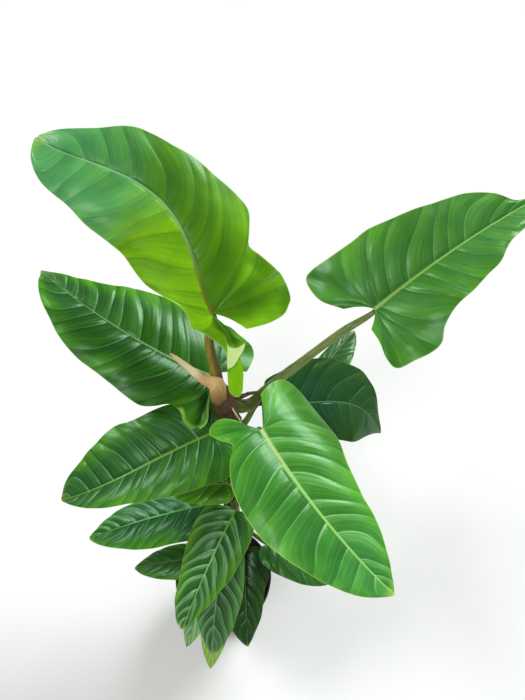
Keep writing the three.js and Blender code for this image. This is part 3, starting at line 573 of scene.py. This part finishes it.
         stalk=[(19, 50, 272), (40, 22, 290)], thick=[5, 4.5, 4]),
    dict(attach=(3, -25, 266), tip=(-16, -178, 194), half=(34, 34), veins=7, outline=[YOUNG, YOUNG],
         near="508c3c", far="94bc5c", glow="88bc48", vein="a8c890", rib=("9cb87c", "a9c480"), edge="a4cc60",
         rib_width=1.6, strips=0.4,
         stalk=[(18, 44, 246), (12, 8, 242)], thick=[4.5, 4, 3.5]),
    dict(attach=(-20, -11, 235), tip=(-67, -138, 178), half=(30, 30), veins=7, outline=[YOUNG, YOUNG],
         near="56904a", far="84b47c", glow="88b868", vein="90b488", rib=("84a474", "84a474"), edge="88b070",
         rib_width=1.6,
         stalk=[(16, 34, 214), (-6, 12, 214)], thick=[4.5, 4, 3.5]),
    dict(attach=(96, 15, 330), tip=(218, -47, 285), half=(48, 44), outline=[YOUNG, YOUNG],
         near="2a5822", far="386a30", glow="3f7a20", vein="80ac78", rib=("74945c", "74945c"), edge="729c4c",
         stalk=[(21, 72, 334), (62, 38, 325)], thick=[5.5, 5, 4]),
]
LEAVES = [{**PLAIN, **leaf} for leaf in LEAVES]


def turned(vector, axis, degrees):
    turn = math.radians(degrees)
    level = vector * math.cos(turn) + np.cross(axis, vector) * math.sin(turn)
    return level + axis * np.dot(axis, vector) * (1 - math.cos(turn))


def midrib(leaf, y):
    """Places on the midrib at fractions y of its length, with its direction, upward and sideways there."""
    base, tip = np.array(leaf["attach"], float), np.array(leaf["tip"], float)
    chord = tip - base
    axis = chord / np.linalg.norm(chord)
    up = np.array([0, 0, 1.0]) - axis * axis[2]
    up = turned(up / np.linalg.norm(up), axis, leaf["roll"])
    across = np.cross(axis, up)
    steps = len(leaf["arch"]) + 1
    bows = [base + chord * (k + 1) / steps + up * leaf["arch"][k] + across * leaf["sweep"][k]
            for k in range(steps - 1)]
    y = np.asarray(y, float)[..., None]
    points = [p + 0 * y for p in (base, *bows, tip)]
    while len(points) > 2:
        points = [a * (1 - y) + b * y for a, b in zip(points, points[1:])]
    place = points[0] * (1 - y) + points[1] * y
    ahead = points[1] - points[0]
    ahead = ahead / np.linalg.norm(ahead, axis=-1, keepdims=True)
    upward = up - ahead * (ahead @ up)[..., None]
    upward = upward / np.linalg.norm(upward, axis=-1, keepdims=True)
    return place, ahead, upward, np.cross(ahead, upward)


def margin_at(points, row):
    """Where the vein of each row ends: how far out, in half widths, and how far along the midrib."""
    points = np.array([*points, (0, 100)], float) / 100
    last = len(points) - 1
    at = row * last
    i = np.minimum(at.astype(int), last - 1)
    u = (at - i)[:, None]
    a, b, c, d = [points[np.clip(i + k, 0, last)] for k in (-1, 0, 1, 2)]
    return b + 0.5 * ((c - a) * u + (2 * a - 5 * b + 4 * c - d) * u * u + (3 * b - a - 3 * c + d) * u ** 3)


def half_blade(leaf, half, row, u, relief=0.0):
    """Points of one half of the blade: one row of points for each side vein, from midrib to margin."""
    spine = midrib(leaf, np.linspace(0, 1, SPINE_SPOTS))[0]
    length = np.linalg.norm(np.diff(spine, axis=0), axis=1).sum()
    ends = [margin_at(points, row) for points in leaf["outline"]]
    start = np.maximum(0, ((ends[0][:, 1] + ends[1][:, 1]) / 2 - VEIN_LEAD) / (1 - VEIN_LEAD))[:, None]
    wide, end = ends[half][:, :1], ends[half][:, 1:]
    span = leaf["half"][half]
    x = np.maximum(2 * u * (1 - u) * VEIN_OUT * wide * span + u * u * wide * span, 0)
    y = (1 - u) ** 2 * start + 2 * u * (1 - u) * (start + VEIN_AHEAD * (end - start)) + u * u * end
    y = np.minimum(y, 1)
    place, ahead, upward, sideways = midrib(leaf, np.maximum(y, 0))
    reach = max(5, -min(point[1] for point in leaf["outline"][half])) / 100
    back = np.maximum(-y, 0)
    share = back / reach
    turn = math.radians(leaf["sag"][half]) * share
    safe = np.where(turn > 1e-4, turn, 1.0)
    forth = np.where(turn > 1e-4, np.sin(turn) / safe, 1.0) * back * length
    down = np.where(turn > 1e-4, (1 - np.cos(turn)) / safe, 0.0) * back * length
    place = place - ahead * forth[..., None] - upward * down[..., None]
    normal = upward * np.cos(turn)[..., None] - ahead * np.sin(turn)[..., None]
    shift = leaf["drift"][half] * np.sin(np.pi / 2 * np.minimum(share / DRIFT_SHARE, 1))
    rise = math.radians(leaf["fold"][half])
    curl = math.radians(leaf["curl"][half]) / span
    outward = (math.sin(rise) - np.sin(rise - curl * x)) / curl - shift
    height = (np.cos(rise - curl * x) - math.cos(rise)) / curl
    row = row[:, None]
    for side, centre, width, depth, amount in leaf["bulges"]:
        if side == half:
            outward = outward - amount * np.exp(-((u - centre) / width) ** 2 - (row / depth) ** 2)
    height = height + leaf["wave"] * u * u * np.sin(2 * np.pi * leaf["waves"] * row + half) * (1 - row ** 4)
    for side, centre, width, depth in leaf["dents"]:
        if side == half:
            height = height - depth * u ** 1.5 * np.exp(-((row - centre) / width) ** 2)
    height = height + relief
    side = 1 if half else -1
    return place + sideways * (side * outward)[..., None] + normal * height[..., None], x, y * length


def smooth_step(value, low, high):
    share = np.clip((value - low) / (high - low), 0, 1)
    return share * share * (3 - 2 * share)


def grow_blade(name, leaf, large):
    """One blade: a flat grid laid along the veins, quilted, then thickened, its rib standing out below."""
    columns, rows = TURNED_GRID if leaf["bulges"] else LARGE_GRID if large else SMALL_GRID
    fine = np.linspace(0, 1, FINE_ROWS)
    middles = [half_blade(leaf, half, fine, np.array([EVEN_AT]))[0][:, 0] for half in (0, 1)]
    steps = sum(np.linalg.norm(np.diff(line, axis=0), axis=1) for line in middles)
    walked = np.concatenate([[0], np.cumsum(steps)])
    row = np.interp(np.linspace(0, 1, rows + 1), walked / walked[-1], fine)
    q = leaf["veins"] * np.linspace(0, 1, rows + 1)[:, None]
    u = (np.arange(columns + 1) / columns) ** 1.5
    rib = leaf["rib_width"]
    spots = np.zeros((rows + 1, 2 * columns + 1, 3))
    veins, ribs, places = [], [], []
    for half in (0, 1):
        bare, x, y = half_blade(leaf, half, row, u)
        length = np.max(y)
        lead = (0.8 if large else 1.6) * u ** 1.4 * smooth_step(q, 0, 4)
        vein = q - lead + (0 if half else LEFT_VEINS_AHEAD)
        vein = vein + 0.2 * np.sin(1.9 * q + 2.1 * half) + 0.1 * u * np.sin(1.7 * q + half + 3 * u)
        width = rib * (1 - 0.72 * np.clip(y / length, 0, 1) ** 0.8)
        beside = np.hypot(x, np.maximum(-y, 0)) / width
        part = vein - np.floor(vein)
        quilt = np.sin(np.pi * part ** 0.6) ** 0.8 + 0.12 * np.abs(np.sin(3 * np.pi * part))
        quilt = quilt * (0.75 + 0.35 * np.sin(2.3 * np.floor(vein) + 4 * half + 2 * u))
        spread = np.linalg.norm(np.gradient(bare, axis=0), axis=2) * rows / leaf["veins"]
        full = np.clip(spread / QUILT_SPACING, 0, 1)
        quilt = quilt * smooth_step(beside, 0.8, 3.5) * (1 - smooth_step(u, 0.7, 1.0))
        quilt = quilt * leaf["quilt"] * full
        rim = RIM_WAVE * smooth_step(u, 0.75, 1.0) * np.sin(np.pi * vein + half) * full
        band = RIB_RISE * (1 - (np.clip(beside, 0, RIB_REACH) / RIB_REACH) ** 2) ** 2
        there = half_blade(leaf, half, row, u, quilt + rim + band)[0]
        if half:
            spots[:, columns:] = there
        else:
            spots[:, :columns + 1] = there[:, ::-1]
        sign = 1 if half else -1
        veins.append(np.stack(np.broadcast_arrays(sign * u, vein), axis=-1))
        ribs.append(np.stack([sign * beside, y / length], axis=-1))
        places.append(np.stack(np.broadcast_arrays(u, row[:, None] + half), axis=-1))
    blade, line, column = shaped_grid(name, spots)
    mesh = blade.data
    corner = np.zeros(len(mesh.loops), np.int32)
    mesh.loops.foreach_get("vertex_index", corner)
    middle = column[corner].reshape(-1, 4).mean(axis=1)
    left = np.repeat(middle < columns, 4)
    inner = np.where(left, columns - column[corner], column[corner] - columns)
    mesh.uv_layers[0].name = "vein"
    for layer, values in (("vein", veins), ("rib", ribs), ("place", places)):
        if layer != "vein":
            mesh.uv_layers.new(name=layer)
        spread_out = np.where(left[:, None], values[0][line[corner], inner], values[1][line[corner], inner])
        mesh.uv_layers[layer].data.foreach_set("uv", spread_out.astype(np.float32).ravel())
    mesh.update()
    edit_all()
    bpy.ops.mesh.remove_doubles(threshold=2e-5)
    bpy.ops.object.mode_set(mode="OBJECT")
    sheet = blade.modifiers.new("sheet", "SOLIDIFY")
    sheet.thickness = THICKNESS / 1000
    sheet.offset = 0
    sheet.use_even_offset = False
    sheet.material_offset = 1
    bpy.ops.object.modifier_apply(modifier="sheet")
    bpy.ops.object.shade_smooth_by_angle(angle=math.radians(60))
    along = np.linspace(0.0, 0.97, 12)
    spine, _, upward, _ = midrib(leaf, along)
    radii = [rib * 0.75, rib * 0.45, 0.5]
    deep = np.interp(along, [0, 0.5, 1], radii)[:, None]
    keel = bent_bar(name + "_keel", spine - upward * deep, radii, 14, 60)
    return blade, keel


def place_of(tree):
    """Where a spot lies on its vein, and on which one: 0 to 1 for the left half, 1 to 2 for the right."""
    return axes(tree, node(tree, "UVMap", uv_map="place").outputs[0])


def crease_light_and_shade_painted(tree, green, out, crease):
    """Painted shade in a valley across one hind lobe, painted light on its banks, and a lime rim at the
    margin.
    """
    middle, reach = crease
    aside = calc(tree, "ABSOLUTE", calc(tree, "SUBTRACT", place_of(tree)[1], middle))
    painted_crease_shade = times(tree, fade(tree, aside, reach * 0.5, reach * 0.1), fade(tree, out, 0.25, 0.5),
                   fade(tree, out, 0.93, 0.85), 0.85)
    # Painted shade in the crease, darker and bluer.
    green = mixed(tree, painted_crease_shade, green, (0.2, 0.32, 0.5, 1), "MULTIPLY")
    painted_bank_light = times(tree, fade(tree, aside, reach * 1.8, reach * 1.2), fade(tree, aside, reach * 0.5, reach),
                 fade(tree, out, 0.5, 0.75, 0, 0.6))
    # Painted light on the banks beside the crease.
    green = mixed(tree, painted_bank_light, green, "5ca43c")
    rim = times(tree, fade(tree, aside, reach * 2.6, reach * 2), fade(tree, out, 0.9, 0.96, 0, 0.85))
    return mixed(tree, rim, green, "9ccc50")


def turned_lobe_painted(tree, green, out, streak):
    """The turned hind lobe: painted shade inside, lime where it hangs, with its pale torn flap, lifted by
    painted light, a painted shadow beside the flap, and its rolled rim.
    """
    along = place_of(tree)[1]
    # Painted shade inside the turned lobe, darker and bluer.
    inner = times(tree, fade(tree, along, 0.31, 0.25), fade(tree, out, 0.6, 0.5))
    green = mixed(tree, inner, green, (0.3, 0.42, 0.5, 1), "MULTIPLY")
    hanging = times(tree, fade(tree, along, 0.2, 0.12), fade(tree, out, 0.6, 0.68), 0.7)
    green = mixed(tree, hanging, green, "8fd008")
    torn = calc(tree, "ADD", out, fade(tree, grain(tree, 180, 3), 0.3, 0.7, -0.012, 0.012))
    begin = calc(tree, "ADD", out, times(tree, along, 0.5))
    finish = calc(tree, "SUBTRACT", torn, times(tree, along, 1.3))
    inside = times(tree, fade(tree, begin, 0.605, 0.62), fade(tree, along, 0.2, 0.18))
    # Painted shadow: a thin dark band along the flap's edge.
    green = mixed(tree, times(tree, inside, fade(tree, finish, 0.7, 0.655), 0.6), green, "3c6c04")
    # The pale torn flap, its tones lifted further as painted light.
    flap = times(tree, inside, fade(tree, finish, 0.662, 0.65))
    green = mixed(tree, flap, green, mixed(tree, streak, "cff684", "f2ffc4"))
    rolled = times(tree, fade(tree, out, 0.93, 0.975), fade(tree, along, 0.19, 0.23),
                   fade(tree, along, 0.46, 0.36), 0.8)
    return mixed(tree, rolled, green, "a9d07c")


def leaf_finish(name, leaf, below=None):
    """An upper side painted from the leaf's tones, or an underside from the five tones given for it."""
    material, tree, surface = finish_named(name)
    uv = node(tree, "UVMap", uv_map="vein").outputs[0]
    lines = axes(tree, uv)
    spine = axes(tree, node(tree, "UVMap", uv_map="rib").outputs[0])
    out = calc(tree, "ABSOLUTE", lines[0])
    beside = calc(tree, "ABSOLUTE", spine[0])
    from_vein = calc(tree, "PINGPONG", lines[1], 0.5)
    after_vein = calc(tree, "FRACT", lines[1])
    streak = grain(tree, 1.0, 4, (1.6, 9, 1), uv)
    mottle = grain(tree, 26, 3)
    cloud = grain(tree, 11, 2)
    number = times(tree, calc(tree, "ROUND", lines[1]), 12.9)
    chosen = calc(tree, "FRACT", times(tree, calc(tree, "SINE", number), 43.7))
    vein = times(tree, fade(tree, from_vein, fade(tree, out, 0, 1, 0.05, 0.022), 0.004),
                 fade(tree, out, 0.3, 0.95, 1.0, 0.0), fade(tree, chosen, 0.2, 0.7, 0.4, 1.0),
                 fade(tree, mottle, 0.35, 0.6, 0.4, 1.0))
    minor = calc(tree, "PINGPONG", times(tree, lines[1], 3), 0.5)
    if below:
        low, high, vein_tone, rib_tone, edge_tone = below
        green = mixed(tree, fade(tree, cloud, 0.35, 0.65), low, high)
        shown, strips = 0.6, 0.3
    else:
        blend = calc(tree, "ADD", spine[1], fade(tree, cloud, 0.25, 0.75, -leaf["uneven"], leaf["uneven"]))
        change = fade(tree, blend, 0.25, 0.85)
        # Painted light and shade: each half is tinted lighter or darker as the light falls on it, fading out
        # towards the tip.
        left, right = leaf["sides"]
        sides = mixed(tree, fade(tree, lines[0], -0.02, 0.02), (*left, 1), (*right, 1))
        green = mixed(tree, change, leaf["near"], leaf["far"])
        green = mixed(tree, fade(tree, blend, 0.9, 0.45), green, sides, "MULTIPLY")
        glow = times(tree, fade(tree, out, 0.4, 1.0), fade(tree, cloud, 0.38, 0.6, 0.25, 1.0), 0.85)
        glow_tone = mixed(tree, change, leaf["glow"], leaf.get("glow_end", leaf["glow"]))
        green = mixed(tree, glow, green, glow_tone)
        rib_tone = mixed(tree, fade(tree, spine[1], 0.05, 0.45), *leaf["rib"])
        vein_tone = mixed(tree, change, leaf.get("vein_foot", leaf["vein"]), leaf["vein"])
        edge_tone = leaf["edge"]
        shown, strips = leaf["shown"], leaf["strips"]
        green = mixed(tree, fade(tree, spine[1], 0.93, 1.0, 0, 0.7), green, edge_tone)
    # Painted light and shade between the veins: each strip lighter just past a vein and darker before the
    # next.
    painted_pleat_light = mixed(tree, fade(tree, after_vein, 0.0, 0.95), (1.38, 1.3, 1.2, 1), (0.62, 0.7, 0.76, 1))
    blotch = mixed(tree, mottle, (0.6, 0.68, 0.7, 1), (1.4, 1.32, 1.2, 1))
    stripe = mixed(tree, streak, (0.75, 0.78, 0.78, 1), (1.25, 1.22, 1.18, 1))
    for share, tint in ((strips, painted_pleat_light), (1.0, blotch), (1.0, stripe)):
        green = mixed(tree, share, green, tint, "MULTIPLY")
    # Pale banks beside the veins: partly the leaf's own pale tissue, partly a painted sheen.
    if "ridges" in leaf:
        pale_bank_and_sheen = times(tree, fade(tree, after_vein, 0.5, 0.1), fade(tree, out, 0.95, 0.6),
                      fade(tree, lines[0], -0.02, 0.02, *leaf["ridges"]),
                      fade(tree, streak, 0.38, 0.62, 0.3, 1.0))
        green = mixed(tree, pale_bank_and_sheen, green, vein_tone)
    edge = fade(tree, calc(tree, "ADD", out, times(tree, mottle, 0.012)), 0.986, 1.0, 0, 0.7)
    for share, tone in ((times(tree, fade(tree, minor, 0.16, 0.03, 0, 0.2), streak, shown), vein_tone),
                        (times(tree, vein, shown), vein_tone),
                        (fade(tree, beside, 1.3, 0.45, 0, 0.85), rib_tone), (edge, edge_tone)):
        green = mixed(tree, share, green, tone)
    if "crease" in leaf:
        green = crease_light_and_shade_painted(tree, green, out, leaf["crease"])
    if leaf.get("bulges"):
        green = turned_lobe_painted(tree, green, out, streak)
    rough = 0.45 if below else 0.3
    relief = calc(tree, "ADD", times(tree, streak, 0.8), times(tree, vein, -0.8))
    relief = calc(tree, "ADD", relief, times(tree, grain(tree, 420, 2), 0.06))
    dress(tree, surface, green, fade(tree, streak, 0.3, 0.7, rough - 0.05, rough + 0.1), relief, 0.0005, 0.8)
    surface.inputs["Specular IOR Level"].default_value = 0.38
    surface.inputs["Specular Tint"].default_value = (1, 1, 1, 1) if below else (0.5, 1.0, 0.56, 1)
    surface.inputs["Coat Weight"].default_value = 0.08 if below else 0.14
    surface.inputs["Coat Roughness"].default_value = 0.14
    return material


underside = leaf_finish("maroon_underside", {}, ("5a2f22", "6a4634", "8a6a4a", "9c7a52", "8f8a50"))
new_underside = leaf_finish("lime_underside", {}, ("8fb23c", "a9cc5c", "c4dc8c", "c9dc98", "d4ec9c"))
for number, leaf in enumerate(LEAVES, 1):
    blade, keel = grow_blade(f"leaf_{number:02d}", leaf, number <= LARGE_LEAVES)
    upper = leaf_finish(f"leaf_{number:02d}_upper", leaf)
    lower = new_underside if number == NEWEST else underside
    blade.data.materials.append(upper)
    blade.data.materials.append(lower)
    keel.data.materials.append(lower)
    keel.data.uv_layers[0].name = "vein"
    keel.data.uv_layers.new(name="rib")
    blade = joined([blade, keel])
    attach(blade, "root")
    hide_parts(f"blade_{number:02d}")


# Leaf stalks: firm round stalks, olive or brown and finely striped, each thickest where it clasps the
# stem and bent up into the underside of its blade, where it runs out along the midrib. The brown stalks
# are darkened down their right side as painted shade.
STALK_DROP = 3
RUN_OUT = 16
BROWN_STALKS = (1, 8)
PALE_STALK = 5


def stalk_shape(turn, share, walked):
    ridges = 0.02 * np.cos(11 * turn) + 0.012 * np.cos(17 * turn + 1)
    knee = 0.09 * math.exp(-((share - 0.9) / 0.05) ** 2)
    return 1 + ridges + knee


def stalk_finish(name, dark, light, foot_end=60, foot_tone="3f2c1a", right_painted_shade=(1, 1, 1)):
    material, tree, surface = finish_named(name)
    fibre = fibre_of(tree)
    stripe = grain(tree, 1.2, 4, (1, 1, 0.03), fibre)
    fleck = grain(tree, 0.8, 3, (1, 1, 0.25), fibre)
    across, _, length = axes(tree, fibre)
    shade = mixed(tree, fade(tree, stripe, 0.3, 0.7), dark, light)
    # Painted shade: the stalk's right side is darkened by the given tint.
    shade = mixed(tree, fade(tree, across, -4, 5), shade, (*right_painted_shade, 1), "MULTIPLY")
    shade = mixed(tree, fade(tree, fleck, 0.62, 0.72, 0, 0.35), shade, "b9c48c")
    foot = calc(tree, "ADD", length, times(tree, stripe, 30))
    shade = mixed(tree, fade(tree, foot, foot_end, foot_end - 40, 0, 0.8), shade, foot_tone)
    dress(tree, surface, shade, fade(tree, stripe, 0.3, 0.7, 0.35, 0.5), stripe, 0.0004, 0.7)
    surface.inputs["Specular IOR Level"].default_value = 0.3
    surface.inputs["Specular Tint"].default_value = (0.9, 1.0, 0.5, 1)
    surface.inputs["Coat Weight"].default_value = 0.06
    surface.inputs["Coat Roughness"].default_value = 0.3
    return material


olive = stalk_finish("olive_stalk", "4c5526", "7f8f4c")
pale_olive = stalk_finish("pale_olive_stalk", "5c7034", "98ac68", 125, "3c4208")
# The brown stalks' right side is darkened as painted shade.
brown = stalk_finish("brown_stalk", "7c6c18", "b09c44", right_painted_shade=(0.36, 0.3, 0.2))
for number, leaf in enumerate(LEAVES, 1):
    place, ahead, upward = [values[0] for values in midrib(leaf, [0.0])[:3]]
    last = leaf["thick"][-1]
    path = [*leaf["stalk"], place - upward * (last + STALK_DROP) - ahead * last,
            place - upward * 5 + ahead * RUN_OUT]
    sides, rings = (48, 110) if number <= LARGE_LEAVES else (32, 70)
    stalk = bent_bar(f"leaf_stalk_{number:02d}", path, [*leaf["thick"], last, 2.5], sides, rings, stalk_shape)
    finish = brown if number in BROWN_STALKS else pale_olive if number == PALE_STALK else olive
    stalk.data.materials.append(finish)
    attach(stalk, "root")
    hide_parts(f"stalk_{number:02d}")


# Sheaths: the papery tan sheath that wrapped the newest leaf, its point turned out from the stem, and
# the dried grey-brown strip of an older one over the foot of the right-hand stalk.
def sheath_shape(turn, share, walked):
    left_keel, right_keel = [np.exp(-((np.cos(turn + lean) - 1) / 0.05) ** 2) for lean in (-0.9, 0.9)]
    return 0.94 + 0.1 * (left_keel + right_keel) + 0.02 * np.cos(13 * turn)


sheath = bent_bar("newest_sheath", [(16, 129, 645), (13, 135, 657), (9, 149, 674), (-13, 153, 686),
                                    (-38, 164, 705), (-61, 171, 728)],
                  [8, 15, 15.5, 15.5, 10, 7.8, 7.2, 6.2, 5.2, 4.4, 2], 56, 110, sheath_shape)
paper, tree, surface = finish_named("tan_sheath")
fibre = fibre_of(tree)
stripe = grain(tree, 1.1, 4, (1, 1, 0.04), fibre)
_, low_side, length = axes(tree, fibre)
shade = mixed(tree, fade(tree, stripe, 0.3, 0.7), "d0a060", "f0cc94")
# Painted shade on the sheath's low side, darker and pinker, and a painted highlight in pale cream along its
# top.
shade = mixed(tree, fade(tree, low_side, 0, 5, 0, 0.8), shade, "c07c50")
painted_top_highlight = times(tree, fade(tree, low_side, -2, -4.5), fade(tree, length, 60, 80), 0.8)
shade = mixed(tree, painted_top_highlight, shade, "fff4c8")
shade = mixed(tree, fade(tree, length, 46, 10, 0, 0.85), shade, "6a4c22")
dress(tree, surface, shade, 0.45, stripe, 0.0003, 0.6)
surface.inputs["Specular Tint"].default_value = (1.0, 0.85, 0.6, 1)
sheath.data.materials.append(paper)
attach(sheath, "root")
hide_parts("sheath")


def husk_shape(turn, share, walked):
    return 0.9 + 0.25 * uneven_round(turn, 1.4, walked / 7)


old_sheath = bent_bar("dried_sheath", [(30, 138, 632), (44, 149, 637), (60, 155, 640), (79, 158, 643)],
                      [5.5, 5, 4, 2], 40, 60, husk_shape)
husk, tree, surface = finish_named("dried_husk")
fibre = fibre_of(tree)
stripe = grain(tree, 1.0, 5, (1, 1, 0.08), fibre)
shade = mixed(tree, fade(tree, stripe, 0.3, 0.7), "33271a", "7c6c50")
dress(tree, surface, shade, 0.88, stripe, 0.0012, 0.9)
old_sheath.data.materials.append(husk)
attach(old_sheath, "root")
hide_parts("old_sheath")


# Aerial roots: two thin cream roots that grow out of the stem below the sheaths and hang free.
cream, tree, surface = finish_named("cream_root")
fibre = fibre_of(tree)
stripe = grain(tree, 1.4, 4, (1, 1, 0.2), fibre)
shade = mixed(tree, fade(tree, stripe, 0.35, 0.7), "b09a70", "ded6b4")
dress(tree, surface, shade, 0.75, stripe, 0.0005, 0.8)
for number, path in enumerate(([(28, 129, 656), (43, 114, 636), (57, 102, 612)],
                               [(14, 104, 590), (4, 92, 556), (2, 84, 520)]), 1):
    root = bent_bar(f"hanging_root_{number}", path, [1.8, 1.6, 1], 16, 40)
    root.data.materials.append(cream)
    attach(root, "root")
    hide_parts(f"aerial_root_{number}")


# Stage: a plain pale floor and soft daylight, strongest from high behind the plant on the right, so that
# its sheen lies along the veins. The camera stands in front, above the top leaf, and looks steeply down.
deselect()
bpy.ops.mesh.primitive_plane_add(size=14, location=(0, 0, 0))
floor = bpy.context.object
floor.name = "pale_floor"
paint, tree, surface = finish_named("pale_floor_finish")
shade = mixed(tree, fade(tree, grain(tree, 2, 3), 0.3, 0.7), (0.83, 0.83, 0.82, 1), (0.87, 0.87, 0.86, 1))
tree.links.new(shade, surface.inputs["Base Color"])
surface.inputs["Roughness"].default_value = 0.9
floor.data.materials.append(paint)

for name, azimuth, height, spread, power, tint in (("right_window", 45, 44, 26, 2.4, (0.97, 1.0, 1.0)),
                                                   ("left_window", -77, 50, 20, 1.1, (1.0, 1.0, 0.98)),
                                                   ("front_window", 200, 58, 16, 0.5, (1.0, 1.0, 0.98)),
                                                   ("front_fill", 185, 62, 70, 0.35, (1.0, 0.99, 0.95))):
    bpy.ops.object.light_add(type="SUN", location=(0, 0, 3))
    light = bpy.context.object
    light.name = name
    light.data.angle = math.radians(spread)
    light.data.energy = power
    light.data.color = tint
    light.visible_glossy = name != "front_fill"
    light.rotation_euler = (math.radians(90 - height), 0, math.radians(180 - azimuth))
world = bpy.data.worlds.new("soft_daylight")
world.use_nodes = True
sky = world.node_tree.nodes["Background"]
sky.inputs["Color"].default_value = (0.95, 0.98, 1.0, 1)
sky.inputs["Strength"].default_value = 0.22
bpy.context.scene.world = world
bpy.context.scene.view_settings.view_transform = "Standard"

bpy.ops.object.camera_add(location=(0.085, -0.360, 1.370), rotation=(math.radians(40), 0, 0))
camera = bpy.context.object
camera.data.lens = 27
camera.data.sensor_width = 36
camera.data.clip_start = 0.05
camera.data.clip_end = 60
bpy.context.scene.camera = camera
